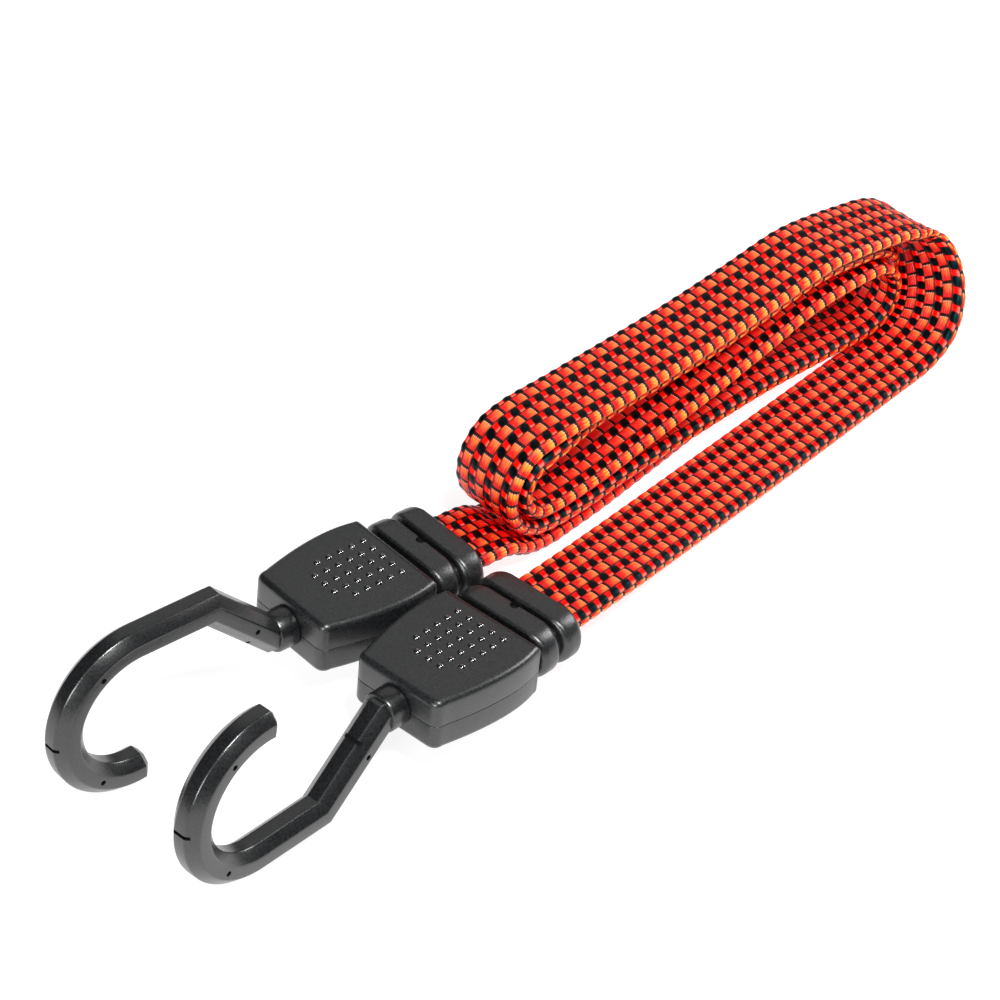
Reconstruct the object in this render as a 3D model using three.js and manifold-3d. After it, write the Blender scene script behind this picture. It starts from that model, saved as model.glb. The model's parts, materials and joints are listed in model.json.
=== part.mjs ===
// Flat bungee cord: a woven elastic strap folded on the table, with a swivelling moulded hook at each end.
// Millimetres, +Z up, standing on z = 0. A fitting's own x runs from its face towards the strap.
import * as THREE from 'three';
import { mergeVertices } from 'three/addons/utils/BufferGeometryUtils.js';
import Module from 'manifold-3d';

// Clearances
const FACE_GAP = 0.3; // between pieces that bear on each other
const RUNNING_GAP = 0.3; // round what turns in the housing
const SLOT_GAP = 0.3; // round the strap in its crimp, housing and collar

// Strap: a rubber band in a woven sheath
const STRAP_WIDTH = 20;
const STRAP_THICKNESS = 3.4;
const SHEATH_WALL = 0.8;
const CORE_GAP = 0.3;
const STRETCH_RUN = 95; // length of the stretch behind each collar
const STRAP_LEAD = 4; // straight length out of a collar

// Crimp on the strap's end
const CRIMP_LENGTH = 9;
const CRIMP_WALL = 1;
const CRIMP_CORNER = 1.2;

// Neck collar: a flange caught in the housing, a waist and two beads
const COLLAR_SIDE_WALL = 1.7;
const COLLAR_TOP_WALL = 2;
const FLANGE_LENGTH = 2;
const FLANGE_LIP = 1.2;
const FLANGE_RISE = 0.7;
const COLLAR_STANDOFF = 1.4;
const BEAD_LENGTH = 5.6;
const BEAD_RISE = 2;
const BEAD_ROUND = 1.6;
const BEAD_GROOVE = 2.2;
const COLLAR_EDGE_FLAT = 0.5; // half-height left flat on the collar's narrow sides

// Housing: two shells with a barrel-shaped plan
const HOUSING_LENGTH = 31.5;
const HOUSING_SKIN = 1.7; // over the collar's flange
const HOUSING_SIDE_WALL = 0.8; // beside the collar's flange
const BELLY_SWELL = 0.7; // belly past the back end, each side
const FRONT_TAPER = 2.05; // front face inside the back end, each side
const BELLY_AT = 18;
const HOUSING_CORNER = 3;
const HOUSING_EDGE = 1.8;
const PARTING_GAP = 0.3;
const FRONT_WALL = 4.4;
const WEB_WALL = 1.2; // between the swivel chamber and the crimp pocket
const BACK_WALL = 2;

// Grip dots on the upper shell
const DOT_COUNT = 5;
const DOT_LEAD_COUNT = 3; // the short row nearest the hook
const DOT_PITCH = 3.33;
const DOT_DIAMETER = 1.7;
const DOT_HEIGHT = 0.6;
const DOT_ROOT = 0.4;
const DOT_CENTRE_AT = 20.2;
const DOT_SIDES = 6;

// Swivel: the wire's head bears on a washer behind the front wall
const WIRE_DIAMETER = 4;
const WIRE_SIDES = 8;
const HEAD_DIAMETER = 7.4;
const HEAD_LENGTH = 2.2;
const WASHER_DIAMETER = 9;
const WASHER_THICKNESS = 1.2;
const NECK_DIAMETER = 6.6;
const ROUND_SIDES = 16;

// Hook: an eight-sided rod with two mitred bends and a round bowl
const STUB_DIAMETER = 9.5;
const STUB_LENGTH = 5;
const STUB_CHAMFER = 0.6;
const ROD_FLATS = 7.6;
const ROD_SIDES = 8;
const FIRST_ARM_OUT = 17.7;
const FIRST_ARM_RISE = 16.2;
const SECOND_ARM = 19.7;
const BOWL_RADIUS = 17.5;
const BOWL_STEPS = 11; // steps of the half turn that holds the wire
const TIP_TURN = 6; // degrees that the jacket turns on past the half turn
const TIP_CHAMFER = 1.2;

// Places on the table. Yaw turns a fitting's strap end towards the viewer, pitch lowers it.
const FRONT_FACE = { x: -64.4, y: -30.2 };
const FRONT_YAW = -1.8;
const FRONT_PITCH = 7;
const FRONT_SWIVEL = 180;
const REAR_FACE_X = -63.6;
const FITTINGS_APART = 4;
const REAR_YAW = 4.6;
const REAR_PITCH = 7;
const REAR_SWIVEL = 0;

// The folded strap's upright middle plane: along runs to the right, across runs away from the viewer
const HANK_START = { x: 0.77, y: 1.47 };
const HANK_YAW = 4.4;
const HANK_LENGTH = 138.4;
const LAYER_GAP = 0.8;
const LAYER_PITCH = STRAP_THICKNESS + LAYER_GAP;
const LIE_GAP = 0.1; // under a stretch that lies on the table
const LYING = STRAP_THICKNESS / 2 + LIE_GAP; // height of the middle of such a stretch

// Left folds share one centre, the outer one a layer outside the inner one
const LEFT_FOLD = { along: 6.4, up: 19.2, radius: 12.1 };
const RIGHT_FOLD = { along: 82.7, up: 15.2, radius: 8.7 };
const FOLD_STEPS = 6;

// Route of the strap's middle line between folds, as [along, across, up]. Along is in hundredths of the hank.
const FRONT_ROUTE = [
  [2.9, -30, 10.4], [11.8, -28, 8.6], [33.4, -23.6, 5.2], [54.9, -19.7, 2.7], [72.9, -17.2, LYING],
];
const OUTER_FOLD_ROUTE = [
  [81.5, -16.3, LYING], [87.4, -16, 2.8], [93.2, -15, 6], [97.5, -12.6, 11],
  [100, -8.2, 17], [99.9, -3.8, 22], [97.4, -1.2, 25.8], [92.6, -0.3, 29.2],
];
const TOP_ROUTE = [
  [86.7, 0, 31.3], [80.2, 0, 33.4], [71.5, 0, 34.6], [58.5, 0, 33.1], [43.4, 0, 31.7], [17.3, 0, 31.3],
];
const LOWER_ROUTE = [
  [14.5, 0, 6.8], [23.1, 0, 7.9], [39.7, 0, 8.5], [57.8, 0, 8.7], [72.3, 0, 7.4],
];
const MIDDLE_ROUTE = [
  [69.4, 0, 24.3], [54.9, 0, 20.3], [41.2, 0, 16.6], [28.9, 0, 14.2], [17.3, 0, 11.8],
];
const INNER_FOLD_ROUTE = [
  [90.6, 1.2, 22.6], [92.6, 5.2, 17.2], [92.1, 10.4, 11.4],
  [90, 12.6, 6.6], [86.3, 13, 3], [80.9, 12.2, LYING],
];
const REAR_ROUTE = [
  [68.6, 9.6, LYING], [43.4, 5.2, LYING], [18.1, 1.2, LYING], [10.1, 0.4, 1.9], [6.4, -0.2, 2.4],
  [2.9, -0.7, 3.5], [-0.4, -1.4, 5.6], [-4.3, -2.3, 9.2],
];

// Facets of the strap
const EDGE_POINTS = 5; // points round each edge of the sheath
const CORE_EDGE_POINTS = 4;
const LENGTH_STEPS = 4000;
const WALK_STEP = 1;
const MAX_STEP = 45;
const MAX_TURN = 16; // degrees
const MAX_SAG = 0.12; // between a facet and the true curve
const GAP_ACROSS = 9; // points across the strap where its gap to itself is measured
const GAP_BETWEEN = 4; // points along each facet
const GAP_APART = 60; // length of strap that counts as its own neighbour

// Facets of the moulded pieces
const EDGE_STEPS = 2;
const PLAN_STEPS = 6;
const CORNER_STEPS = 3;
const WELD = 1e-4;
const OVERCUT = 1; // how far a cutting solid runs past what it cuts

// Sizes that follow
const slotWidth = STRAP_WIDTH + 2 * SLOT_GAP;
const slotHeight = STRAP_THICKNESS + 2 * SLOT_GAP;
const crimpWidth = slotWidth + 2 * CRIMP_WALL;
const crimpHeight = slotHeight + 2 * CRIMP_WALL;
const waistWidth = slotWidth + 2 * COLLAR_SIDE_WALL;
const waistHeight = slotHeight + 2 * COLLAR_TOP_WALL;
const flangeWidth = waistWidth + 2 * FLANGE_LIP;
const flangeHeight = waistHeight + 2 * FLANGE_RISE;
const housingHeight = flangeHeight + 2 * (FACE_GAP + HOUSING_SKIN);
const backWidth = flangeWidth + 2 * (FACE_GAP + HOUSING_SIDE_WALL);
const bellyWidth = backWidth + 2 * BELLY_SWELL;
const frontWidth = backWidth - 2 * FRONT_TAPER;

// Places along a fitting's x that follow
const washerStart = FRONT_WALL + FACE_GAP;
const headStart = washerStart + WASHER_THICKNESS + FACE_GAP;
const headEnd = headStart + HEAD_LENGTH;
const chamberEnd = headEnd + FACE_GAP;
const pocketStart = chamberEnd + WEB_WALL;
const crimpStart = pocketStart + FACE_GAP;
const pocketEnd = crimpStart + CRIMP_LENGTH + FACE_GAP;
const flangeEnd = HOUSING_LENGTH - BACK_WALL - FACE_GAP;
const flangeStart = flangeEnd - FLANGE_LENGTH;
const firstBead = HOUSING_LENGTH + COLLAR_STANDOFF;
const secondBead = firstBead + BEAD_LENGTH + BEAD_GROOVE;
const mouth = secondBead + BEAD_LENGTH;

const wasm = await Module();
wasm.setup();

const radians = THREE.MathUtils.degToRad;

// Vertices shared and faces turned outwards
function weld(geometry) {
  geometry.deleteAttribute('normal');
  geometry.deleteAttribute('uv');
  const welded = mergeVertices(geometry, WELD);
  const corner = [0, 1, 2].map(() => new THREE.Vector3());
  const place = welded.attributes.position;
  const index = welded.index;
  let volume = 0;
  for (let i = 0; i < index.count; i += 3) {
    corner.forEach((point, k) => point.fromBufferAttribute(place, index.getX(i + k)));
    volume += corner[0].dot(corner[1].clone().cross(corner[2]));
  }
  if (volume < 0) index.array.reverse();
  return welded;
}

function toSolid(geometry) {
  const welded = weld(geometry);
  const vertProperties = new Float32Array(welded.attributes.position.array);
  const triVerts = new Uint32Array(welded.index.array);
  return new wasm.Manifold(new wasm.Mesh({ numProp: 3, vertProperties, triVerts }));
}

function toGeometry(solid) {
  const mesh = solid.getMesh();
  const geometry = new THREE.BufferGeometry();
  geometry.setAttribute('position', new THREE.BufferAttribute(mesh.vertProperties, 3));
  geometry.setIndex(new THREE.BufferAttribute(mesh.triVerts, 1));
  return geometry;
}

function joined(geometries) {
  return geometries.map(toSolid).reduce((whole, piece) => whole.add(piece));
}

// A box centred on the fitting's axis
function block(start, end, width, height) {
  return new THREE.BoxGeometry(end - start, width, height).translate((start + end) / 2, 0, 0);
}

// A solid turned about the fitting's axis, from [x, radius] pairs that start and end on it
function turned(profile) {
  const points = profile.map(([x, radius]) => new THREE.Vector2(radius, x));
  return new THREE.LatheGeometry(points, ROUND_SIDES).rotateZ(-Math.PI / 2);
}

function rod(start, end, diameter) {
  return turned([[start, 0], [start, diameter / 2], [end, diameter / 2], [end, 0]]);
}

// Triangles between two rings of equal count
function wall(index, first, second, count, flip) {
  for (let k = 0; k < count; k += 1) {
    const next = (k + 1) % count;
    const halves = [[first + k, first + next, second + next], [first + k, second + next, second + k]];
    halves.forEach((half) => index.push(...(flip ? half.reverse() : half)));
  }
}

function ringGeometry(rings, index) {
  const geometry = new THREE.BufferGeometry().setFromPoints(rings.flat());
  geometry.setIndex(index);
  return geometry;
}

// A closed solid through rings of convex outline
function loft(rings) {
  const count = rings[0].length;
  const last = (rings.length - 1) * count;
  const index = [];
  for (let ring = 0; ring < rings.length - 1; ring += 1) {
    wall(index, ring * count, (ring + 1) * count, count, false);
  }
  for (let k = 1; k < count - 1; k += 1) {
    index.push(0, k + 1, k);
    index.push(last, last + k, last + k + 1);
  }
  return ringGeometry(rings, index);
}

// An open-ended tube between outer and inner rings of equal count
function tube(outer, inner) {
  const count = outer[0].length;
  const bore = outer.length * count;
  const last = (outer.length - 1) * count;
  const index = [];
  for (let ring = 0; ring < last; ring += count) {
    wall(index, ring, ring + count, count, false);
    wall(index, bore + ring, bore + ring + count, count, true);
  }
  wall(index, bore, 0, count, false);
  wall(index, last, bore + last, count, false);
  return ringGeometry([...outer, ...inner], index);
}

// Flat band with half-round edges, as [across, up] pairs
function bandSection(width, thickness, edgePoints) {
  const radius = thickness / 2;
  const half = width / 2 - radius;
  const section = [];
  for (const side of [1, -1]) {
    for (let k = 0; k < edgePoints; k += 1) {
      const angle = Math.PI * (k / (edgePoints - 1) - 0.5);
      section.push([side * (half + radius * Math.cos(angle)), side * radius * Math.sin(angle)]);
    }
  }
  return section;
}

// Rectangle with round corners, as [across, up] pairs
function roundedSection(width, height, corner) {
  const section = [];
  const quarters = [[1, 1], [-1, 1], [-1, -1], [1, -1]];
  quarters.forEach(([acrossSide, upSide], quarter) => {
    for (let k = 0; k <= CORNER_STEPS; k += 1) {
      const angle = (Math.PI / 2) * (quarter + k / CORNER_STEPS);
      section.push([
        acrossSide * (width / 2 - corner) + corner * Math.cos(angle),
        upSide * (height / 2 - corner) + corner * Math.sin(angle),
      ]);
    }
  });
  return section;
}

function sectionAt(x, section) {
  return section.map(([across, up]) => new THREE.Vector3(x, across, up));
}

// Barrel-shaped plan of the housing
function housingPlan() {
  const front = frontWidth / 2;
  const back = backWidth / 2;
  const end = HOUSING_LENGTH - HOUSING_CORNER;
  const bellyX = 2 * BELLY_AT - HOUSING_LENGTH / 2;
  const bellyY = bellyWidth - (front + back) / 2;
  const plan = new THREE.Shape();
  plan.moveTo(0, HOUSING_CORNER - front);
  plan.quadraticCurveTo(0, -front, HOUSING_CORNER, -front);
  plan.quadraticCurveTo(bellyX, -bellyY, end, -back);
  plan.quadraticCurveTo(HOUSING_LENGTH, -back, HOUSING_LENGTH, HOUSING_CORNER - back);
  plan.lineTo(HOUSING_LENGTH, back - HOUSING_CORNER);
  plan.quadraticCurveTo(HOUSING_LENGTH, back, end, back);
  plan.quadraticCurveTo(bellyX, bellyY, HOUSING_CORNER, front);
  plan.quadraticCurveTo(0, front, 0, front - HOUSING_CORNER);
  plan.closePath();
  return plan;
}

// Both shells as one block, hollowed for the swivel, the crimp, the strap and the collar's flange
function hollowHousing() {
  const depth = housingHeight - 2 * HOUSING_EDGE;
  const around = 2 * FACE_GAP;
  const outside = new THREE.ExtrudeGeometry(housingPlan(), {
    depth,
    curveSegments: PLAN_STEPS,
    bevelSize: HOUSING_EDGE,
    bevelOffset: -HOUSING_EDGE,
    bevelThickness: HOUSING_EDGE,
    bevelSegments: EDGE_STEPS,
  }).translate(0, 0, -depth / 2);
  const hollow = joined([
    rod(-OVERCUT, FRONT_WALL + OVERCUT, NECK_DIAMETER + 2 * RUNNING_GAP),
    rod(FRONT_WALL, chamberEnd, WASHER_DIAMETER + 2 * RUNNING_GAP),
    block(pocketStart, pocketEnd, crimpWidth + around, crimpHeight + around),
    block(pocketEnd - OVERCUT, flangeStart, slotWidth, slotHeight),
    block(flangeStart - FACE_GAP, flangeEnd + FACE_GAP, flangeWidth + around, flangeHeight + around),
    block(flangeEnd, HOUSING_LENGTH + OVERCUT, waistWidth + around, waistHeight + around),
  ]);
  return toSolid(outside).subtract(hollow);
}

function halfSpace(side) {
  const reach = housingHeight;
  const centre = side * (reach / 2 + PARTING_GAP / 2);
  return toSolid(block(-OVERCUT, HOUSING_LENGTH + OVERCUT, 2 * bellyWidth, reach).translate(0, 0, centre));
}

function gripDot(x, y) {
  const top = housingHeight / 2;
  const radius = DOT_DIAMETER / 2;
  const shoulder = DOT_HEIGHT / 2;
  const points = [
    new THREE.Vector2(0, -DOT_ROOT),
    new THREE.Vector2(radius, -DOT_ROOT),
    new THREE.Vector2(radius, shoulder),
    new THREE.Vector2(radius / 2, DOT_HEIGHT),
    new THREE.Vector2(0, DOT_HEIGHT),
  ];
  return new THREE.LatheGeometry(points, DOT_SIDES).rotateX(Math.PI / 2).translate(x, y, top);
}

// A square grid of dots with a short row ahead of it
function gripDots() {
  const dots = [];
  for (let row = -1; row < DOT_COUNT; row += 1) {
    const count = row < 0 ? DOT_LEAD_COUNT : DOT_COUNT;
    const x = DOT_CENTRE_AT + (row - (DOT_COUNT - 1) / 2) * DOT_PITCH;
    for (let k = 0; k < count; k += 1) {
      dots.push(gripDot(x, (k - (count - 1) / 2) * DOT_PITCH));
    }
  }
  return joined(dots);
}

function collarRing(x, width, height) {
  return sectionAt(x, roundedSection(width, height, height / 2 - COLLAR_EDGE_FLAT));
}

// One bead's rings: its two edges are rounded over a quarter circle
function beadRings(start) {
  const rings = [];
  const quarter = [0, 1, 2].map((k) => (k * Math.PI) / 4);
  const end = start + BEAD_LENGTH;
  const add = (x, angle) => {
    const rise = 2 * (BEAD_RISE - BEAD_ROUND * (1 - Math.sin(angle)));
    rings.push(collarRing(x, waistWidth + rise, waistHeight + rise));
  };
  quarter.forEach((angle) => add(start + BEAD_ROUND * (1 - Math.cos(angle)), angle));
  quarter.reverse().forEach((angle) => add(end - BEAD_ROUND * (1 - Math.cos(angle)), angle));
  return rings;
}

function neckCollar() {
  const outside = loft([
    collarRing(flangeStart, flangeWidth, flangeHeight),
    collarRing(flangeEnd, flangeWidth, flangeHeight),
    collarRing(flangeEnd, waistWidth, waistHeight),
    collarRing(firstBead, waistWidth, waistHeight),
    ...beadRings(firstBead),
    collarRing(firstBead + BEAD_LENGTH, waistWidth, waistHeight),
    collarRing(secondBead, waistWidth, waistHeight),
    ...beadRings(secondBead),
  ]);
  const slot = block(flangeStart - OVERCUT, mouth + OVERCUT, slotWidth, slotHeight);
  return toSolid(outside).subtract(toSolid(slot));
}

function strapCrimp() {
  const ends = [crimpStart, crimpStart + CRIMP_LENGTH];
  const outer = roundedSection(crimpWidth, crimpHeight, CRIMP_CORNER);
  const inner = roundedSection(slotWidth, slotHeight, CRIMP_CORNER - CRIMP_WALL);
  return tube(ends.map((x) => sectionAt(x, outer)), ends.map((x) => sectionAt(x, inner)));
}

// Sections of the strap
const sheathOutside = bandSection(STRAP_WIDTH, STRAP_THICKNESS, EDGE_POINTS);
const boreInset = 2 * SHEATH_WALL;
const sheathInside = bandSection(STRAP_WIDTH - boreInset, STRAP_THICKNESS - boreInset, EDGE_POINTS);
const coreInset = boreInset + 2 * CORE_GAP;
const coreSection = bandSection(STRAP_WIDTH - coreInset, STRAP_THICKNESS - coreInset, CORE_EDGE_POINTS);

// Middle line of the hook as [out, rise]: stub, first arm, second arm and bowl
function hookLine(start, turnPast) {
  const bowlOut = STUB_LENGTH + FIRST_ARM_OUT + SECOND_ARM;
  const bowlRise = FIRST_ARM_RISE - BOWL_RADIUS;
  const line = [[start, 0], [STUB_LENGTH, 0], [STUB_LENGTH + FIRST_ARM_OUT, FIRST_ARM_RISE]];
  const bowl = (degrees) => {
    const angle = radians(degrees);
    line.push([bowlOut + BOWL_RADIUS * Math.sin(angle), bowlRise + BOWL_RADIUS * Math.cos(angle)]);
  };
  for (let step = 0; step <= BOWL_STEPS; step += 1) {
    bowl((180 * step) / BOWL_STEPS);
  }
  if (turnPast > 0) bowl(180 + turnPast);
  return line.map(([out, rise]) => new THREE.Vector2(out, rise));
}

// The same line run on straight by some length
function runOn(line, length) {
  const end = line.at(-1);
  const ahead = end.clone().sub(line.at(-2)).setLength(length);
  return [...line, end.clone().add(ahead)];
}

// Rings of a regular many-sided rod along the hook's line, mitred where it turns. The last may be smaller.
function rodRings(line, flats, sides, endFlats) {
  const corner = 1 / Math.cos(Math.PI / sides);
  return line.map((point, i) => {
    const back = point.clone().sub(line[Math.max(i - 1, 0)]).normalize();
    const ahead = line[Math.min(i + 1, line.length - 1)].clone().sub(point).normalize();
    if (i === 0) back.copy(ahead);
    if (i === line.length - 1) ahead.copy(back);
    const normal = new THREE.Vector2(-back.y - ahead.y, back.x + ahead.x).normalize();
    const stretch = 1 / (normal.y * back.x - normal.x * back.y);
    const radius = ((i === line.length - 1 ? endFlats : flats) / 2) * corner;
    return Array.from({ length: sides }, (_, k) => {
      const angle = ((2 * k + 1) * Math.PI) / sides;
      const inPlane = normal.clone().multiplyScalar(radius * Math.sin(angle) * stretch).add(point);
      return new THREE.Vector3(-inPlane.x, radius * Math.cos(angle), inPlane.y);
    });
  });
}

function hookWire() {
  const line = hookLine(-headStart, 0);
  const core = loft(rodRings(line, WIRE_DIAMETER, WIRE_SIDES, WIRE_DIAMETER));
  const head = rod(headStart - FACE_GAP / 2, headEnd, HEAD_DIAMETER);
  return joined([core, head]);
}

// Plastic over the wire: a stub that turns on the housing's face, then the eight-sided rod
function hookJacket() {
  const tipped = runOn(hookLine(STUB_LENGTH / 2, TIP_TURN), TIP_CHAMFER);
  const outside = loft(rodRings(tipped, ROD_FLATS, ROD_SIDES, ROD_FLATS - 2 * TIP_CHAMFER));
  const stub = turned([
    [-STUB_LENGTH, 0],
    [-STUB_LENGTH, STUB_DIAMETER / 2 - STUB_CHAMFER],
    [STUB_CHAMFER - STUB_LENGTH, STUB_DIAMETER / 2],
    [-FACE_GAP, STUB_DIAMETER / 2],
    [-FACE_GAP, NECK_DIAMETER / 2],
    [FRONT_WALL, NECK_DIAMETER / 2],
    [FRONT_WALL, 0],
  ]);
  const boreFlats = WIRE_DIAMETER + 2 * FACE_GAP;
  const boreLine = runOn(hookLine(-FRONT_WALL - OVERCUT, 0), FACE_GAP);
  const bore = loft(rodRings(boreLine, boreFlats, WIRE_SIDES, boreFlats));
  return joined([outside, stub]).subtract(toSolid(bore));
}

function swivelWasher() {
  const inner = WIRE_DIAMETER / 2 + RUNNING_GAP;
  const outer = WASHER_DIAMETER / 2;
  const end = washerStart + WASHER_THICKNESS;
  const start = washerStart;
  return turned([[start, inner], [start, outer], [end, outer], [end, inner], [start, inner]]);
}

// Materials
function blackPlastic() {
  return new THREE.MeshStandardMaterial({ color: '#1c1d1f', roughness: 0.6, metalness: 0 });
}

function steel() {
  return new THREE.MeshStandardMaterial({ color: '#a3a6a9', roughness: 0.35, metalness: 1 });
}

function wovenSheath() {
  return new THREE.MeshStandardMaterial({ color: '#e8582b', roughness: 0.7, metalness: 0 });
}

function latex() {
  return new THREE.MeshStandardMaterial({ color: '#c8b184', roughness: 0.8, metalness: 0 });
}

function piece(name, shape, material) {
  const geometry = shape.isBufferGeometry ? weld(shape) : toGeometry(shape);
  geometry.computeVertexNormals();
  const mesh = new THREE.Mesh(geometry, material);
  mesh.name = name;
  return mesh;
}

// One end of the cord, standing on the table on its hook
function fitting(end, { x, y, yaw, pitch, swivel }) {
  const group = new THREE.Group();
  const housing = hollowHousing();
  const tail = [crimpStart, mouth];
  const rings = (section) => tail.map((at) => sectionAt(at, section));
  group.add(
    piece(`${end}_upper_shell`, housing.intersect(halfSpace(1)).add(gripDots()), blackPlastic()),
    piece(`${end}_lower_shell`, housing.intersect(halfSpace(-1)), blackPlastic()),
    piece(`${end}_neck_collar`, neckCollar(), blackPlastic()),
    piece(`${end}_strap_crimp`, strapCrimp(), steel()),
    piece(`${end}_tail_sheath`, tube(rings(sheathOutside), rings(sheathInside)), wovenSheath()),
    piece(`${end}_tail_rubber`, loft(rings(coreSection)), latex()),
    piece(`${end}_swivel_washer`, swivelWasher(), steel()),
  );
  const hook = new THREE.Group();
  hook.add(
    piece(`${end}_hook_jacket`, hookJacket(), blackPlastic()),
    piece(`${end}_hook_wire`, hookWire(), steel()),
  );
  hook.rotation.x = radians(swivel);
  group.add(hook);
  group.rotation.set(0, radians(pitch), radians(-yaw), 'ZYX');
  group.position.set(x, y, 0);
  group.position.z = -new THREE.Box3().setFromObject(group, true).min.z;
  group.updateMatrixWorld(true);
  return group;
}

// A point of the folded strap's plane in the model
const hankAlong = new THREE.Vector3(Math.cos(radians(HANK_YAW)), -Math.sin(radians(HANK_YAW)), 0);
const hankAcross = new THREE.Vector3(-hankAlong.y, hankAlong.x, 0);
function hankPoint([along, across, up]) {
  return new THREE.Vector3(HANK_START.x, HANK_START.y, up)
    .addScaledVector(hankAlong, along * HANK_LENGTH / 100)
    .addScaledVector(hankAcross, across);
}

// Half-turn fold, bulging to the right for side 1, climbing for rise 1
function foldRoute({ along, up, radius }, side, rise) {
  const reach = (side * radius * 100) / HANK_LENGTH;
  return Array.from({ length: FOLD_STEPS + 1 }, (_, k) => {
    const angle = Math.PI * (k / FOLD_STEPS - 0.5);
    return [along + reach * Math.cos(angle), 0, up + rise * radius * Math.sin(angle)];
  });
}

// The strap's middle line from the front collar to the rear one
function strapRoute(front, rear) {
  const ahead = [mouth + FACE_GAP, mouth + STRAP_LEAD].map((x) => new THREE.Vector3(x, 0, 0));
  const leaving = (group) => ahead.map((point) => group.localToWorld(point.clone()));
  const innerFold = { ...LEFT_FOLD, radius: LEFT_FOLD.radius - LAYER_PITCH };
  const underTop = TOP_ROUTE.map(([along, across, up]) => [along, across, up - LAYER_PITCH]).reverse();
  const folded = [
    ...FRONT_ROUTE, ...OUTER_FOLD_ROUTE, ...TOP_ROUTE,
    ...foldRoute(LEFT_FOLD, -1, -1), ...LOWER_ROUTE,
    ...foldRoute(RIGHT_FOLD, 1, 1), ...MIDDLE_ROUTE,
    ...foldRoute(innerFold, -1, 1), ...underTop,
    ...INNER_FOLD_ROUTE, ...REAR_ROUTE,
  ];
  return [...leaving(front), ...folded.map(hankPoint), ...leaving(rear).reverse()];
}

const front = fitting('front', { ...FRONT_FACE, yaw: FRONT_YAW, pitch: FRONT_PITCH, swivel: FRONT_SWIVEL });
const rear = fitting('rear', {
  x: REAR_FACE_X,
  y: FRONT_FACE.y + bellyWidth + FITTINGS_APART,
  yaw: REAR_YAW,
  pitch: REAR_PITCH,
  swivel: REAR_SWIVEL,
});
const strapLine = new THREE.CatmullRomCurve3(strapRoute(front, rear), false, 'centripetal');
strapLine.arcLengthDivisions = LENGTH_STEPS;
const strapLength = strapLine.getLength();

// Direction across the strap: that of a fitting at its collar, and of the folds past the stretch behind it
function acrossAt(at) {
  const fromEnd = Math.min(at, strapLength - at);
  const group = at < strapLength / 2 ? front : rear;
  const atCollar = new THREE.Vector3(0, 1, 0).transformDirection(group.matrixWorld);
  return atCollar.lerp(hankAcross, THREE.MathUtils.smoothstep(fromEnd, 0, STRETCH_RUN));
}

// Frame of the strap at a length from the front collar
function stationAt(at) {
  const share = THREE.MathUtils.clamp(at / strapLength, 0, 1);
  const centre = strapLine.getPointAt(share);
  centre.z = Math.max(centre.z, LYING);
  const tangent = strapLine.getTangentAt(share);
  const across = acrossAt(at);
  across.addScaledVector(tangent, -across.dot(tangent)).normalize();
  return { at, centre, tangent, across, normal: tangent.clone().cross(across) };
}

// Frames close enough together that neither a bend nor a straight is too coarse
function stationsBetween(from, to) {
  const stations = [stationAt(from)];
  for (let at = from + WALK_STEP; at < to - WALK_STEP; at += WALK_STEP) {
    const last = stations.at(-1);
    const here = stationAt(at);
    const turn = last.tangent.angleTo(here.tangent) + last.across.angleTo(here.across);
    const step = at - last.at;
    const sag = (turn * step) / 8;
    if (turn > radians(MAX_TURN) || sag > MAX_SAG || step > MAX_STEP) stations.push(here);
  }
  return [...stations, stationAt(to)];
}

function strapRings(stations, section) {
  return stations.map(({ centre, across, normal }) =>
    section.map(([side, up]) => centre.clone().addScaledVector(across, side).addScaledVector(normal, up)),
  );
}

function strapPieces(name, stations) {
  const sheath = tube(strapRings(stations, sheathOutside), strapRings(stations, sheathInside));
  const core = loft(strapRings(stations, coreSection));
  return [piece(`${name}_sheath`, sheath, wovenSheath()), piece(`${name}_rubber`, core, latex())];
}

// Least gap between two stretches of the strap, measured from points on one to the flat facets of the other
function leastGap(stations) {
  let least = Infinity;
  const offset = new THREE.Vector3();
  for (let i = 0; i < stations.length - 1; i += 1) {
    for (let k = 0; k < GAP_BETWEEN * GAP_ACROSS; k += 1) {
      const side = ((k % GAP_ACROSS) / (GAP_ACROSS - 1) - 0.5) * STRAP_WIDTH;
      const share = Math.floor(k / GAP_ACROSS) / GAP_BETWEEN;
      const point = stations[i].centre.clone().lerp(stations[i + 1].centre, share);
      point.addScaledVector(stations[i].across, side);
      for (let j = 0; j < stations.length - 1; j += 1) {
        if (Math.abs(stations[i].at - stations[j].at) < GAP_APART) continue;
        const { centre, across } = stations[j];
        const chord = stations[j + 1].centre.clone().sub(centre);
        offset.copy(point).sub(centre);
        const along = offset.dot(chord) / chord.lengthSq();
        const beside = Math.abs(offset.dot(across));
        if (along < 0 || along > 1 || beside > STRAP_WIDTH / 2) continue;
        const height = Math.abs(offset.dot(chord.normalize().cross(across)));
        least = Math.min(least, height - STRAP_THICKNESS);
      }
    }
  }
  return least;
}

const loopStart = STRETCH_RUN + FACE_GAP;
const loopEnd = strapLength - STRETCH_RUN - FACE_GAP;
const frontStations = stationsBetween(0, STRETCH_RUN);
const loopStations = stationsBetween(loopStart, loopEnd);
const rearStations = stationsBetween(strapLength - STRETCH_RUN, strapLength);
const gap = leastGap([...frontStations, ...loopStations, ...rearStations]);
console.log(`strap: ${strapLength.toFixed(1)} mm between collars, least gap to itself ${gap.toFixed(2)} mm`);

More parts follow.
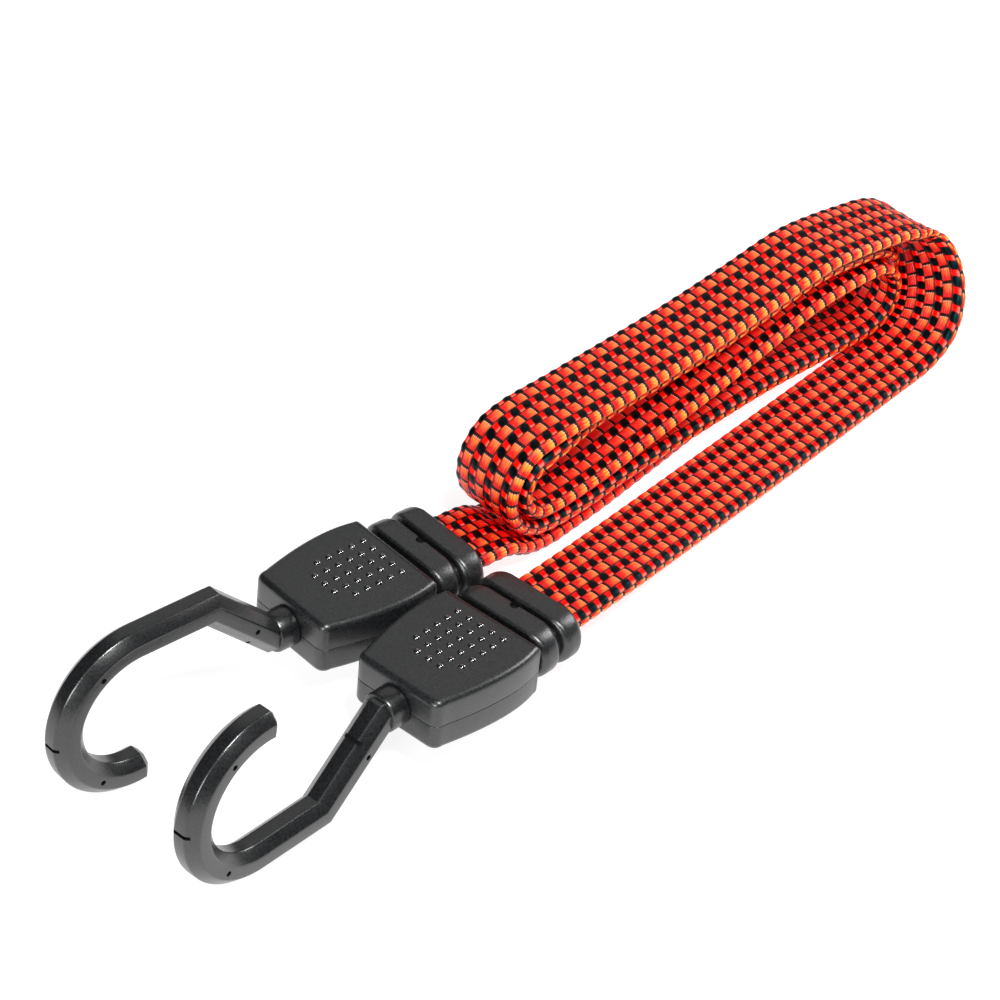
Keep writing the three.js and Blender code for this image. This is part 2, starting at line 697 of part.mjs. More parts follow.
// The origin is under the middle of the two fittings, on the table
const cord = new THREE.Group();
cord.add(front, rear);
const middle = new THREE.Box3().setFromObject(cord, true).getCenter(new THREE.Vector3());
cord.add(
  ...strapPieces('strap_loop', loopStations),
  ...strapPieces('front_run', frontStations),
  ...strapPieces('rear_run', rearStations),
);
cord.position.set(-middle.x, -middle.y, 0);

export default cord;
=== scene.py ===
"""Looks of a flat bungee cord: a woven elastic strap, folded on a table, with a moulded hook at each end."""

import json
import math
from types import SimpleNamespace

import bmesh
import bpy
import numpy as np
from mathutils import Matrix, Vector


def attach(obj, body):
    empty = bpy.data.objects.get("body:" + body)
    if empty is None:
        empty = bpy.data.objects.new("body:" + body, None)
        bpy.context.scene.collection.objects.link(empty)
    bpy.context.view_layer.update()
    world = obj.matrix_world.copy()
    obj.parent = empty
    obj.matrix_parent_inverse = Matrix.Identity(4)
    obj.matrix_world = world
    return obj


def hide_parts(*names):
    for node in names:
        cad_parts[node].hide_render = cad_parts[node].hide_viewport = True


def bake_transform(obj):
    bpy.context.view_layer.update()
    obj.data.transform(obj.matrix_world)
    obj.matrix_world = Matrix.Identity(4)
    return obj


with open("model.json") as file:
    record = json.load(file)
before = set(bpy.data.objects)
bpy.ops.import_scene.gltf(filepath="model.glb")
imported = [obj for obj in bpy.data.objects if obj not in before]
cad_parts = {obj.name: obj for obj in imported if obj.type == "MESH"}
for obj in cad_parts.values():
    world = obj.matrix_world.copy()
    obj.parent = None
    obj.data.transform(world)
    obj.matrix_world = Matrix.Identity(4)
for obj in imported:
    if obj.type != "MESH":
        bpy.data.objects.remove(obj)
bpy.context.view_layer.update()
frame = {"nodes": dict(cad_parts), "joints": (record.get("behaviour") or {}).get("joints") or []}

# Sizes are in millimetres, the frame is in metres
MM = 0.001
ENDS = ("front", "rear")
joints = {joint["name"]: joint for joint in frame["joints"]}
nodes = frame["nodes"]

# Camera
CAMERA_TARGET = (72.08, 13.65, 15.0)
CAMERA_YAW = 46.4
CAMERA_ELEVATION = 42.0
CAMERA_DISTANCE = 750.0
CAMERA_FOCAL = 117.7
CAMERA_NEAREST = 10.0
SENSOR_WIDTH = 36.0

# Studio, with each lamp's place from the camera's target, its side and its power in watts
TABLE_HALF = 3000.0
TABLE_GLOW = 0.88
SKY_STRENGTH = 0.06
BACKDROP_STRENGTH = 0.9
LAMPS = {
    "far_card": ((650, 610, 800), 1000, 1.35),
    "right_key": ((780, -250, 520), 350, 4.0),
    "front_lamp": ((-140, -420, 820), 200, 8.0),
    "left_lamp": ((-800, -250, 380), 250, 4.0),
}

# Strap
STRAP_WIDTH = 20.0
STRAP_THICKNESS = 3.4
STRAP_GIRTH = 2 * (STRAP_WIDTH - STRAP_THICKNESS) + math.pi * STRAP_THICKNESS
SETTLING_LENGTH = 95.0
RUN_LENGTHS = {"front": 98.0, "rear": 95.0}
TAIL_LENGTH = 36.4
MOUTH_AT = 46.6
STRAP_LEAD = 3.7
RING_STEP = 0.6
RING_POINTS = 80
LINE_STEPS = 60

# Weave: ribs of orange floats with narrower rows of black floats and red bars between them.
# Halves, blurs and shifts are shares of a rib and its row, or of a repeat
RIB_PAIRS = 8
WEAVE_REPEAT = 3.6
RIB_HALF = 0.27
RIB_BLUR = 0.012
ROW_HALF = 0.235
FLOAT_HALF = 0.415
BLACK_HALF = 0.31
BLACK_SIDE = 0.25
BAR_HALF = 0.17
BAR_SLANT = 0.35
END_BLUR = 0.02
END_BLUNTNESS = 4
COLUMN_START = 0.25
EDGE_SHIFT = 0.1
FLOAT_RISE = 0.48
BLACK_RISE = 0.36
BAR_RISE = 0.2
GROUND_DEPTH = 0.42

# Yarns of the weave, how their colours fray and shine, how the painted light leans across a float, and how
# far the painted shade in the folds reaches
YARNS = 9.3
STREAK_WIDTH = 0.3918
STREAK_LENGTH = 2.25
PAINTED_LIGHT_LEAN = 0.45
FLOAT_MOTTLE = 0.7
TIP_FRAY = 0.22
WEFT_FRAY = 0.1
BLACK_SHINE = 0.22
FILAMENT_RELIEF = 0.3
WEAVE_BUMP = 0.3
PAINTED_SHADE_REACH = 30.0

# Other materials: widths of their grain
SATIN_GRAIN = 0.4545
SATIN_SPREAD = 1.4
DRAWN_GRAIN = (5.0, 0.5, 0.5)
LATEX_CLOUD = 2.5

# Kinds of node that are used most
MATH = "ShaderNodeMath"
MIX = "ShaderNodeMix"
RANGE = "ShaderNodeMapRange"

# Sockets of a mix node that share their names: its numbers, its colours and the mixed colour
NUMBER_A = 2
NUMBER_B = 3
COLOUR_A = 6
COLOUR_B = 7
MIXED = 2

# Route of the strap, as in the part: along in hundredths of the hank, across and up in millimetres.
# A fold is its middle, along and up, and its radius
HANK_FROM_FRONT_FACE = (65.17, 31.67)
HANK_YAW = 4.4
HANK_LENGTH = 138.4
LYING = 1.8
LAYER_PITCH = 4.2
UNDER_RECESS = 2.6
LEFT_FOLD = (6.4, 19.2, 12.1)
RIGHT_FOLD = (83.7, 15.2, 8.7)
FOLD_STEPS = 6
FRONT_ROUTE = [
    (2.9, -30, 10.4), (11.8, -28, 8.6), (33.4, -23.6, 5.2), (54.9, -19.7, 2.7), (72.9, -17.2, LYING),
]
OUTER_FOLD_ROUTE = [
    (81.5, -16.3, LYING), (87.2, -16, 2.8), (92.6, -15, 6), (96.5, -12, 10.8),
    (98.8, -7.2, 16.6), (98.9, -3, 21.6), (97.4, -0.8, 25.7), (93.4, -0.2, 28.9),
]
TOP_ROUTE = [
    (87, 0, 31.1), (80.2, 0, 33.1), (71.5, 0, 34.6), (58.5, 0, 33.1), (43.4, 0, 31.7), (17.3, 0, 31.3),
]
LOWER_ROUTE = [(14.5, 0, 6.8), (23.1, 0, 7.9), (39.7, 0, 8.5), (57.8, 0, 8.7), (72.3, 0, 7.4)]
MIDDLE_ROUTE = [(69.4, 0, 24.3), (54.9, 0, 20.3), (41.2, 0, 16.6), (28.9, 0, 14.2), (17.3, 0, 11.8)]
INNER_FOLD_ROUTE = [
    (91, 3.6, 22.7), (93.3, 6.2, 17.2), (92.9, 10.2, 11.4),
    (90.6, 12.6, 6.6), (86.5, 13, 3), (80.9, 12.2, LYING),
]
REAR_ROUTE = [
    (68.6, 9.6, LYING), (43.4, 5.2, LYING), (18.1, 1.2, LYING), (10.1, 0.4, 1.9), (6.4, -0.2, 2.4),
    (2.9, -0.7, 3.5), (-0.4, -1.4, 5.6), (-4.3, -2.3, 9.2),
]

# Housing, in the fitting's own x from its face towards the strap.
# The box of a hollow is its start, end, width and height
HOUSING_LENGTH = 31.5
HOUSING_HEIGHT = 13.4
FRONT_WIDTH = 24.5
BELLY_WIDTH = 30.0
BACK_WIDTH = 28.6
BELLY_AT = 18.0
BELLY_STEPS = 20
HOUSING_CORNER = 3.0
BACK_CORNER = 1.6
CORNER_STEPS = 8
HOUSING_EDGE = 1.7
EDGE_STEPS = 6
PARTING_HALF = 0.04
PARTING_EDGE = 0.12
BORE_DIAMETER = 7.2
CHAMBER_DIAMETER = 9.6
CHAMBER = (4.4, 8.7)
CRIMP_POCKET = (9.9, 19.5, 23.2, 6.6)
STRAP_PASSAGE = (18.5, 27.5, 20.6, 4.0)
FLANGE_GROOVE = (26.9, 29.5, 27.0, 10.0)
COLLAR_OPENING = (29.2, 32.5, 24.6, 8.6)

# Grip dots, by the names of their node group's sockets
GRIP_DOTS = {"Count": 5, "Lead Count": 3, "Pitch": 3.33, "Diameter": 1.7, "Height": 0.55}
DOT_CENTRE_AT = 20.2
DOT_SEGMENTS = 20
DOT_RINGS = 12

# Neck collar, with its flange and slot as start, end, width and height
FLANGE = (27.2, 29.2, 26.4, 9.4)
WAIST_WIDTH = 24.2
WAIST_HEIGHT = 8.0
BEADS = (32.8, 40.3)
BEAD_LENGTH = 6.1
BEAD_RISE = 2.2
BEAD_TOP_ROUND = 0.7
BEAD_END_ROUND = 2.2
BEAD_STEPS = 6
OVAL_STEPS = 16
COLLAR_HOLE_DIAMETER = 2.3
COLLAR_HOLE_DEPTH = 2.0
SLOT = (26.0, 47.5, 20.6, 4.0)

# Hook, as distance out of the housing's face and rise above the swivel axis
STUB_DIAMETER = 9.5
STUB_LENGTH = 5.0
STUB_EDGE = 0.6
STUB_EDGE_MIDDLE = (0.4, 0.3)
FACE_GAP = 0.3
NECK_DIAMETER = 6.6
NECK_END = 4.4
ROD_FLATS = 7.6
ROD_EDGE = 0.8
ROD_EDGE_STEPS = 3
FIRST_ARM_OUT = 17.7
FIRST_ARM_RISE = 16.2
SECOND_ARM = 19.7
BOWL_RADIUS = 17.5
BOWL_STEPS = 60
TIP_TURN = 6.0
TIP_CHAMFER = 1.2
PIN_DIAMETER = 1.3
PIN_DEPTH = 0.8
PIN_ON_ARM = 0.37
PINS_ON_BOWL = (36.0, 146.0)
SLIT_WIDTH = 0.9
SLIT_DEPTH = 0.9
SLIT_REACH = 5.0
SLIT_ON_ARM = 0.31
SLIT_ON_BOWL = 93.0
SWIVEL = {"front": 180.0, "rear": 0.0}

ROUND_STEPS = 64
HOLE_STEPS = 24
CUT_MARGIN = 1.0
LEVEL_TOLERANCE = 1e-6
SMOOTH_ANGLE = math.radians(30)


def fitting_frame(end):
    """Place of a fitting: x runs from its face towards the strap, z is up on it."""
    joint = joints[f"{end}_swivel"]
    x = -Vector(joint["axis"]).normalized()
    y = Vector((0, 0, 1)).cross(x).normalized()
    z = x.cross(y)
    place = Matrix((x, y, z)).transposed().to_4x4()
    place.translation = Vector(joint["pos_m"])
    return place @ Matrix.Scale(MM, 4)


fittings = {end: fitting_frame(end) for end in ENDS}


def add_object(name, data):
    """A new object in the scene."""
    obj = bpy.data.objects.new(name, data)
    bpy.context.scene.collection.objects.link(obj)
    return obj


def mesh_object(name, points, faces):
    """A new object with a mesh of these points and faces."""
    mesh = bpy.data.meshes.new(name)
    mesh.from_pydata(points, [], faces)
    mesh.update()
    return add_object(name, mesh)


def unit(vectors):
    """A vector, or each row of an array, at length 1."""
    return vectors / np.linalg.norm(vectors, axis=-1, keepdims=True)


# Strap

hank_along = np.array([math.cos(math.radians(HANK_YAW)), -math.sin(math.radians(HANK_YAW)), 0.0])
hank_across = np.array([-hank_along[1], hank_along[0], 0.0])


def hank_points(route):
    """Points of a route over the hank, in millimetres in the frame."""
    start = np.array(fittings["front"].translation) / MM
    origin = np.array([start[0] + HANK_FROM_FRONT_FACE[0], start[1] + HANK_FROM_FRONT_FACE[1], 0.0])
    points = []
    for along, across, up in route:
        level = origin + hank_along * (along * HANK_LENGTH / 100) + hank_across * across
        points.append(level + np.array([0.0, 0.0, up]))
    return points


def fold_route(fold, side, rise):
    """Half turn that bulges to the right for side 1 and climbs for rise 1."""
    along, up, radius = fold
    reach = side * radius * 100 / HANK_LENGTH
    angles = [math.pi * (k / FOLD_STEPS - 0.5) for k in range(FOLD_STEPS + 1)]
    return [(along + reach * math.cos(a), 0, up + rise * radius * math.sin(a)) for a in angles]


def strap_route():
    """Points from the front collar's mouth, through the folds, to the rear collar's mouth."""
    inner_fold = (LEFT_FOLD[0], LEFT_FOLD[1], LEFT_FOLD[2] - LAYER_PITCH)
    under_top = [
        (along, across + UNDER_RECESS, up - LAYER_PITCH) for along, across, up in reversed(TOP_ROUTE)
    ]
    folded = FRONT_ROUTE + OUTER_FOLD_ROUTE + TOP_ROUTE
    folded = folded + fold_route(LEFT_FOLD, -1, -1) + LOWER_ROUTE
    folded = folded + fold_route(RIGHT_FOLD, 1, 1) + MIDDLE_ROUTE
    folded = folded + fold_route(inner_fold, -1, 1) + under_top
    folded = folded + INNER_FOLD_ROUTE + REAR_ROUTE
    leaving = [Vector((MOUTH_AT, 0, 0)), Vector((MOUTH_AT + STRAP_LEAD, 0, 0))]
    first = [np.array(fittings["front"] @ point) / MM for point in leaving]
    last = [np.array(fittings["rear"] @ point) / MM for point in reversed(leaving)]
    return np.array(first + hank_points(folded) + last)


def smooth_line(points):
    """Close points on the centripetal Catmull-Rom curve through the route."""
    ends = np.vstack([2 * points[0] - points[1], points, 2 * points[-1] - points[-2]])
    share = np.linspace(0, 1, LINE_STEPS, endpoint=False)[:, None]
    line = []
    for a, b, c, d in zip(ends[:-3], ends[1:-2], ends[2:-1], ends[3:]):
        first, middle, last = (math.sqrt(np.linalg.norm(q - p)) for p, q in ((a, b), (b, c), (c, d)))
        leaving = ((b - a) / first - (c - a) / (first + middle) + (c - b) / middle) * middle
        arriving = ((c - b) / middle - (d - b) / (middle + last) + (d - c) / last) * middle
        square = 3 * (c - b) - 2 * leaving - arriving
        cube = 2 * (b - c) + leaving + arriving
        line.append(b + share * (leaving + share * (square + share * cube)))
    return np.vstack(line + [points[-1:]])


strap_line = smooth_line(strap_route())
line_lengths = np.concatenate([[0.0], np.cumsum(np.linalg.norm(np.diff(strap_line, axis=0), axis=1))])
STRAP_LENGTH = float(line_lengths[-1])


def strap_stations(start, end):
    """Lengths, centres, directions across and normals of the strap's rings between two lengths."""
    at = np.linspace(start, end, max(2, round((end - start) / RING_STEP) + 1))
    inside = np.clip(at, 0, STRAP_LENGTH)
    nudge = RING_STEP / 2

    def place(lengths):
        return np.stack([np.interp(lengths, line_lengths, strap_line[:, k]) for k in range(3)], axis=1)

    before = np.clip(inside - nudge, 0, STRAP_LENGTH)
    after = np.clip(inside + nudge, 0, STRAP_LENGTH)
    tangent = unit(place(after) - place(before))
    centre = place(inside) + tangent * (at - inside)[:, None]
    centre[:, 2] = np.maximum(centre[:, 2], LYING)
    from_end = np.clip(np.minimum(inside, STRAP_LENGTH - inside) / SETTLING_LENGTH, 0, 1)
    settled = (from_end * from_end * (3 - 2 * from_end))[:, None]
    near = (inside < STRAP_LENGTH / 2)[:, None]
    own = [np.array(fittings[end].col[1].xyz.normalized()) for end in ENDS]
    across = np.where(near, own[0], own[1]) * (1 - settled) + hank_across * settled
    across = unit(across - tangent * np.sum(across * tangent, axis=1)[:, None])
    return at, centre, across, np.cross(tangent, across)


def band_section(width, thickness, count):
    """Points round a flat band with half-round edges, from the middle of the near one, and their normals."""
    radius = thickness / 2
    flat = width - thickness
    arc = math.pi * radius
    around = 2 * (flat + arc)
    run = np.arange(count) / count * around
    place = np.zeros((count, 2))
    outward = np.zeros((count, 2))
    for k, length in enumerate(run):
        far_half = length >= around / 2
        part = length - around / 2 if far_half else length
        sign = -1.0 if far_half else 1.0
        if part < arc / 2:
            angle = part / radius
            place[k] = (-flat / 2 - radius * math.cos(angle), -radius * math.sin(angle))
            outward[k] = (-math.cos(angle), -math.sin(angle))
        elif part < arc / 2 + flat:
            place[k] = (-flat / 2 + part - arc / 2, -radius)
            outward[k] = (0.0, -1.0)
        else:
            angle = (part - arc / 2 - flat) / radius
            place[k] = (flat / 2 + radius * math.sin(angle), -radius * math.cos(angle))
            outward[k] = (math.sin(angle), -math.cos(angle))
        place[k] *= sign
        outward[k] *= sign
    return place, outward


def weave_height(column, repeat):
    """Rise of the weave's floats over its ground."""
    rib = np.floor(column)
    side = np.abs(column - rib - 0.5)
    along = np.abs(np.mod(repeat + 0.5 * np.mod(rib, 2), 1) - 0.5)
    crown = np.sqrt(np.clip(1 - (side / RIB_HALF) ** 2, 0, 1))
    rib_float = FLOAT_RISE * crown * np.sqrt(np.clip(1 - (along / 0.5) ** END_BLUNTNESS, 0, 1))
    row = np.floor(column + 0.5)
    off = column - row
    slanted = np.abs(np.mod(repeat + 0.5 * np.mod(row, 2) + BAR_SLANT * off, 1) - 0.5)
    row_crown = np.sqrt(np.clip(1 - (off / ROW_HALF) ** 2, 0, 1))
    black = BLACK_RISE * row_crown * np.clip(1 - (slanted / BLACK_HALF) ** END_BLUNTNESS, 0, 1)
    bar_share = np.clip((slanted - BLACK_HALF) / (0.5 - BLACK_HALF), 0, 1)
    bar = BAR_RISE * row_crown * np.sin(bar_share * math.pi / 2)
    return np.maximum(rib_float, np.maximum(black, bar))


def weave_column(k):
    """Place in the weave of a ring's point. The rows are shifted round the near edge, towards one face."""
    near = (1 + np.cos(2 * math.pi * k / RING_POINTS)) / 2
    return k / RING_POINTS * RIB_PAIRS + COLUMN_START + EDGE_SHIFT * near ** 2


def strap_piece(name, start, end, material):
    """A length of the woven strap, and the points that its middle follows in metres."""
    at, centre, across, normal = strap_stations(start, end)
    ground_width = STRAP_WIDTH - 2 * GROUND_DEPTH
    ground_thickness = STRAP_THICKNESS - 2 * GROUND_DEPTH
    place, outward = band_section(ground_width, ground_thickness, RING_POINTS)
    column = weave_column(np.arange(RING_POINTS))
    rise = weave_height(column[None, :], at[:, None] / WEAVE_REPEAT)
    flat = place[None, :, :] + outward[None, :, :] * rise[:, :, None]
    points = centre[:, None, :] + across[:, None, :] * flat[:, :, :1] + normal[:, None, :] * flat[:, :, 1:]
    rings = len(at)
    ring, k = np.meshgrid(np.arange(rings - 1), np.arange(RING_POINTS), indexing="ij")
    following = (k + 1) % RING_POINTS
    corners = [ring * RING_POINTS + k, (ring + 1) * RING_POINTS + k]
    corners += [(ring + 1) * RING_POINTS + following, ring * RING_POINTS + following]
    walls = np.stack(corners, axis=-1).reshape(-1, 4)
    last_ring = (rings - 1) * RING_POINTS
    caps = [list(range(RING_POINTS)), list(reversed(range(last_ring, last_ring + RING_POINTS)))]
    obj = mesh_object(name, (points.reshape(-1, 3) * MM).tolist(), walls.tolist() + caps)
    across_uv = weave_column(np.stack([k, k, k + 1, k + 1], axis=-1))
    along_uv = np.stack([at[ring], at[ring + 1], at[ring + 1], at[ring]], axis=-1) / WEAVE_REPEAT
    weave_uv = np.stack([across_uv, along_uv], axis=-1).reshape(-1, 2)
    layer = obj.data.uv_layers.new(name="weave")
    values = np.zeros((len(obj.data.loops), 2), np.float32)
    values[: len(weave_uv)] = weave_uv
    layer.data.foreach_set("uv", values.ravel())
    obj.data.shade_smooth()
    obj.data.materials.append(material)
    return obj, centre * MM


def strap(material):
    """The strap's stretches: fixed in the fittings, running behind them and folded in the middle."""
    loop_start = RUN_LENGTHS["front"]
    loop_end = STRAP_LENGTH - RUN_LENGTHS["rear"]
    loop, loop_path = strap_piece("strap_loop", loop_start, loop_end, material)
    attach(loop, "strap")
    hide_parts("strap_loop_sheath", "strap_loop_rubber")
    runs = {"front": (0, loop_start), "rear": (loop_end, STRAP_LENGTH)}
    tails = {"front": (-TAIL_LENGTH, 0), "rear": (STRAP_LENGTH, STRAP_LENGTH + TAIL_LENGTH)}
    for end in ENDS:
        run, path = strap_piece(f"{end}_strap_run", *runs[end], material)
        path = path if end == "front" else path[::-1]
        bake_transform(run)
        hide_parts(f"{end}_run_sheath", f"{end}_run_rubber")
        tail, _ = strap_piece(f"{end}_strap_tail", *tails[end], material)
        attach(tail, f"{end}_end")
        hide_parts(f"{end}_tail_sheath")


# Materials

def colour(text):
    """Linear colour of an sRGB hex value."""
    shares = [int(text[k:k + 2], 16) / 255 for k in (1, 3, 5)]
    return tuple(s / 12.92 if s <= 0.04045 else ((s + 0.055) / 1.055) ** 2.4 for s in shares) + (1.0,)


def per_metre(*widths):
    """Scale of a pattern along x, y and z, from the widths that it repeats in."""
    return tuple(1 / (width * MM) for width in widths)


def add(tree, kind, inputs=None, **settings):
    """Adds a node. An input takes a node's first output, a (node, output) pair or a plain value."""
    node = tree.nodes.new(kind)
    for name, value in settings.items():
        setattr(node, name, value)
    for key, value in (inputs or {}).items():
        if isinstance(value, bpy.types.Node):
            tree.links.new(value.outputs[0], node.inputs[key])
        elif isinstance(value, tuple) and isinstance(value[0], bpy.types.Node):
            tree.links.new(value[0].outputs[value[1]], node.inputs[key])
        else:
            node.inputs[key].default_value = value
    return node


def new_material(name):
    """A material without nodes, and its node tree."""
    material = bpy.data.materials.new(name)
    material.use_nodes = True
    material.node_tree.nodes.clear()
    return material, material.node_tree


def weave_places(tree):
    """Where a point is in the weave: its face, its rib, its row between two ribs and its yarn."""
    uv = add(tree, "ShaderNodeUVMap", uv_map="weave")
    place = add(tree, "ShaderNodeSeparateXYZ", {0: uv})
    column, repeat = (place, 0), (place, 1)
    # The strap's two faces: 1 on one and -1 on the other
    far_edge = COLUMN_START + RIB_PAIRS / 2
    face_place = add(tree, MATH, {0: column, 1: far_edge}, operation="SUBTRACT")
    face = add(tree, MATH, {0: face_place}, operation="SIGN")
    # Ribs: every second one is shifted by half a repeat
    rib = add(tree, MATH, {0: column}, operation="FLOOR")
    rib_odd = add(tree, MATH, {0: rib, 1: 2.0}, operation="MODULO")
    rib_run = add(tree, MATH, {0: rib_odd, 1: 0.5, 2: repeat}, operation="MULTIPLY_ADD")
    rib_part = add(tree, MATH, {0: rib_run}, operation="FRACT")
    rib_along = add(tree, MATH, {0: rib_part, 1: 0.5}, operation="SUBTRACT")
    rib_reach = add(tree, MATH, {0: rib_along}, operation="ABSOLUTE")
    rib_place = add(tree, MATH, {0: column}, operation="FRACT")
    rib_off = add(tree, MATH, {0: rib_place, 1: 0.5}, operation="SUBTRACT")
    rib_side = add(tree, MATH, {0: rib_off}, operation="ABSOLUTE")
    # Rows between the ribs, shifted in the same way and slanted
    row_next = add(tree, MATH, {0: column, 1: 0.5}, operation="ADD")
    row = add(tree, MATH, {0: row_next}, operation="FLOOR")
    row_odd = add(tree, MATH, {0: row, 1: 2.0}, operation="MODULO")
    row_run = add(tree, MATH, {0: row_odd, 1: 0.5, 2: repeat}, operation="MULTIPLY_ADD")
    row_off = add(tree, MATH, {0: column, 1: row}, operation="SUBTRACT")
    row_slant = add(tree, MATH, {0: row_off, 1: BAR_SLANT, 2: row_run}, operation="MULTIPLY_ADD")
    row_part = add(tree, MATH, {0: row_slant}, operation="FRACT")
    row_along = add(tree, MATH, {0: row_part, 1: 0.5}, operation="SUBTRACT")
    row_reach = add(tree, MATH, {0: row_along}, operation="ABSOLUTE")
    # Yarns: five side by side in each float. Their filaments are drawn as coarse streaks, so that they show
    yarn_run = add(tree, MATH, {0: rib_off, 1: YARNS}, operation="MULTIPLY")
    yarn_side = add(tree, MATH, {0: yarn_run, 1: 0.5}, operation="PINGPONG")
    streak_place = add(tree, "ShaderNodeCombineXYZ", {0: column, 1: repeat})
    streak_scale = (STRAP_GIRTH / RIB_PAIRS / STREAK_WIDTH, WEAVE_REPEAT / STREAK_LENGTH, 1.0)
    streaks = add(tree, "ShaderNodeMapping", {"Vector": streak_place, "Scale": streak_scale})
    filament = add(tree, "ShaderNodeTexNoise", {"Vector": streaks, "Scale": 1.0, "Detail": 2.0})
    return SimpleNamespace(
        face=face, rib=rib, rib_along=rib_along, rib_reach=rib_reach, rib_off=rib_off, rib_side=rib_side,
        row_off=row_off, row_reach=row_reach, yarn_side=yarn_side, filament=filament,
    )


def rib_colour(tree, at):
    """Floats with painted light and shade: red where they rise from under the weft, orange where lit on
    their backs, with pale painted highlights at their tips.
    """
    # Painted light: each float's colour runs from red at its start to orange along it, and leans across it,
    # as if lit from one side
    onward = add(tree, MATH, {0: at.rib_along, 1: at.face}, operation="MULTIPLY")
    nearer = add(tree, MATH, {0: at.rib_off, 1: at.face}, operation="MULTIPLY")
    painted_light_slope = add(tree, MATH, {0: nearer, 1: PAINTED_LIGHT_LEAN, 2: onward}, operation="MULTIPLY_ADD")
    mottled = add(tree, MATH, {0: at.filament, 1: FLOAT_MOTTLE, 2: painted_light_slope}, operation="MULTIPLY_ADD")
    back = add(
        tree, RANGE, {"Value": mottled, "From Min": 0.12, "From Max": 0.68},
        interpolation_type="SMOOTHSTEP",
    )
    # Painted shade: deep in the folds, where ambient occlusion finds them, the floats turn a dark red.
    # Painted light: the rib along the near edge is yellower
    fold_occlusion = add(tree, "ShaderNodeAmbientOcclusion", {"Distance": PAINTED_SHADE_REACH * MM}, samples=8)
    in_light = add(tree, RANGE, {"Value": (fold_occlusion, "AO"), "From Min": 0.3, "From Max": 0.75})
    painted_light_share = add(tree, MATH, {0: back, 1: in_light}, operation="MULTIPLY")
    rib_number = add(tree, MATH, {0: at.rib, 1: RIB_PAIRS}, operation="MODULO")
    lit_near_rib = add(tree, MATH, {0: rib_number, 1: 0.5}, operation="LESS_THAN")
    crown = add(
        tree, MIX,
        {"Factor": lit_near_rib, COLOUR_A: colour("#ff8538"), COLOUR_B: colour("#ffac36")}, data_type="RGBA",
    )
    dye_with_painted_light_and_shade = add(
        tree, MIX,
        {"Factor": painted_light_share, COLOUR_A: colour("#d80604"), COLOUR_B: (crown, MIXED)}, data_type="RGBA",
    )
    # The yarns end unevenly: their tips get a pale painted highlight, and the gap at the weft a dark painted
    # shade
    tip_run = add(tree, MATH, {0: at.yarn_side, 1: -TIP_FRAY, 2: onward}, operation="MULTIPLY_ADD")
    tip = add(tree, RANGE, {"Value": tip_run, "From Min": 0.29, "From Max": 0.36})
    tips_with_painted_highlight = add(
        tree, MIX, {"Factor": tip, COLOUR_A: (dye_with_painted_light_and_shade, MIXED), COLOUR_B: colour("#ffcda8")}, data_type="RGBA",
    )
    frayed = add(tree, MATH, {0: at.yarn_side, 1: WEFT_FRAY, 2: at.rib_reach}, operation="MULTIPLY_ADD")
    weft_gap_painted_shade = add(
        tree, RANGE,
        {"Value": frayed, "From Min": FLOAT_HALF - END_BLUR, "From Max": FLOAT_HALF + END_BLUR},
    )
    return add(
        tree, MIX,
        {"Factor": weft_gap_painted_shade, COLOUR_A: (tips_with_painted_highlight, MIXED), COLOUR_B: colour("#1e0504")}, data_type="RGBA",
    )


def row_colour(tree, at):
    """Red bars, paler at the near end, on a maroon ground, and round black floats. Also where these are."""
    bar_near = add(tree, MATH, {0: at.row_off, 1: at.face}, operation="MULTIPLY")
    bar_end = add(tree, RANGE, {"Value": bar_near, "From Min": 0.06, "From Max": 0.24})
    bar_dyed = add(
        tree, MIX,
        {"Factor": bar_end, COLOUR_A: colour("#ee0c06"), COLOUR_B: colour("#ffa284")}, data_type="RGBA",
    )
    bar_edge = 0.5 - BAR_HALF
    bar = add(
        tree, RANGE,
        {"Value": at.row_reach, "From Min": bar_edge - END_BLUR, "From Max": bar_edge + END_BLUR},
    )
    ground = add(
        tree, MIX,
        {"Factor": bar, COLOUR_A: colour("#8c0604"), COLOUR_B: (bar_dyed, MIXED)}, data_type="RGBA",
    )
    black_along = add(tree, MATH, {0: at.row_reach, 1: BLACK_HALF}, operation="DIVIDE")
    black_across = add(tree, MATH, {0: at.row_off, 1: BLACK_SIDE}, operation="DIVIDE")
    black_place = add(tree, "ShaderNodeCombineXYZ", {0: black_along, 1: black_across})
    black_far = add(tree, "ShaderNodeVectorMath", {0: black_place}, operation="LENGTH")
    black = add(tree, RANGE, {"Value": (black_far, 1), "From Min": 1.08, "From Max": 0.94})
    woven = add(
        tree, MIX,
        {"Factor": black, COLOUR_A: (ground, MIXED), COLOUR_B: colour("#020204")}, data_type="RGBA",
    )
    return woven, black


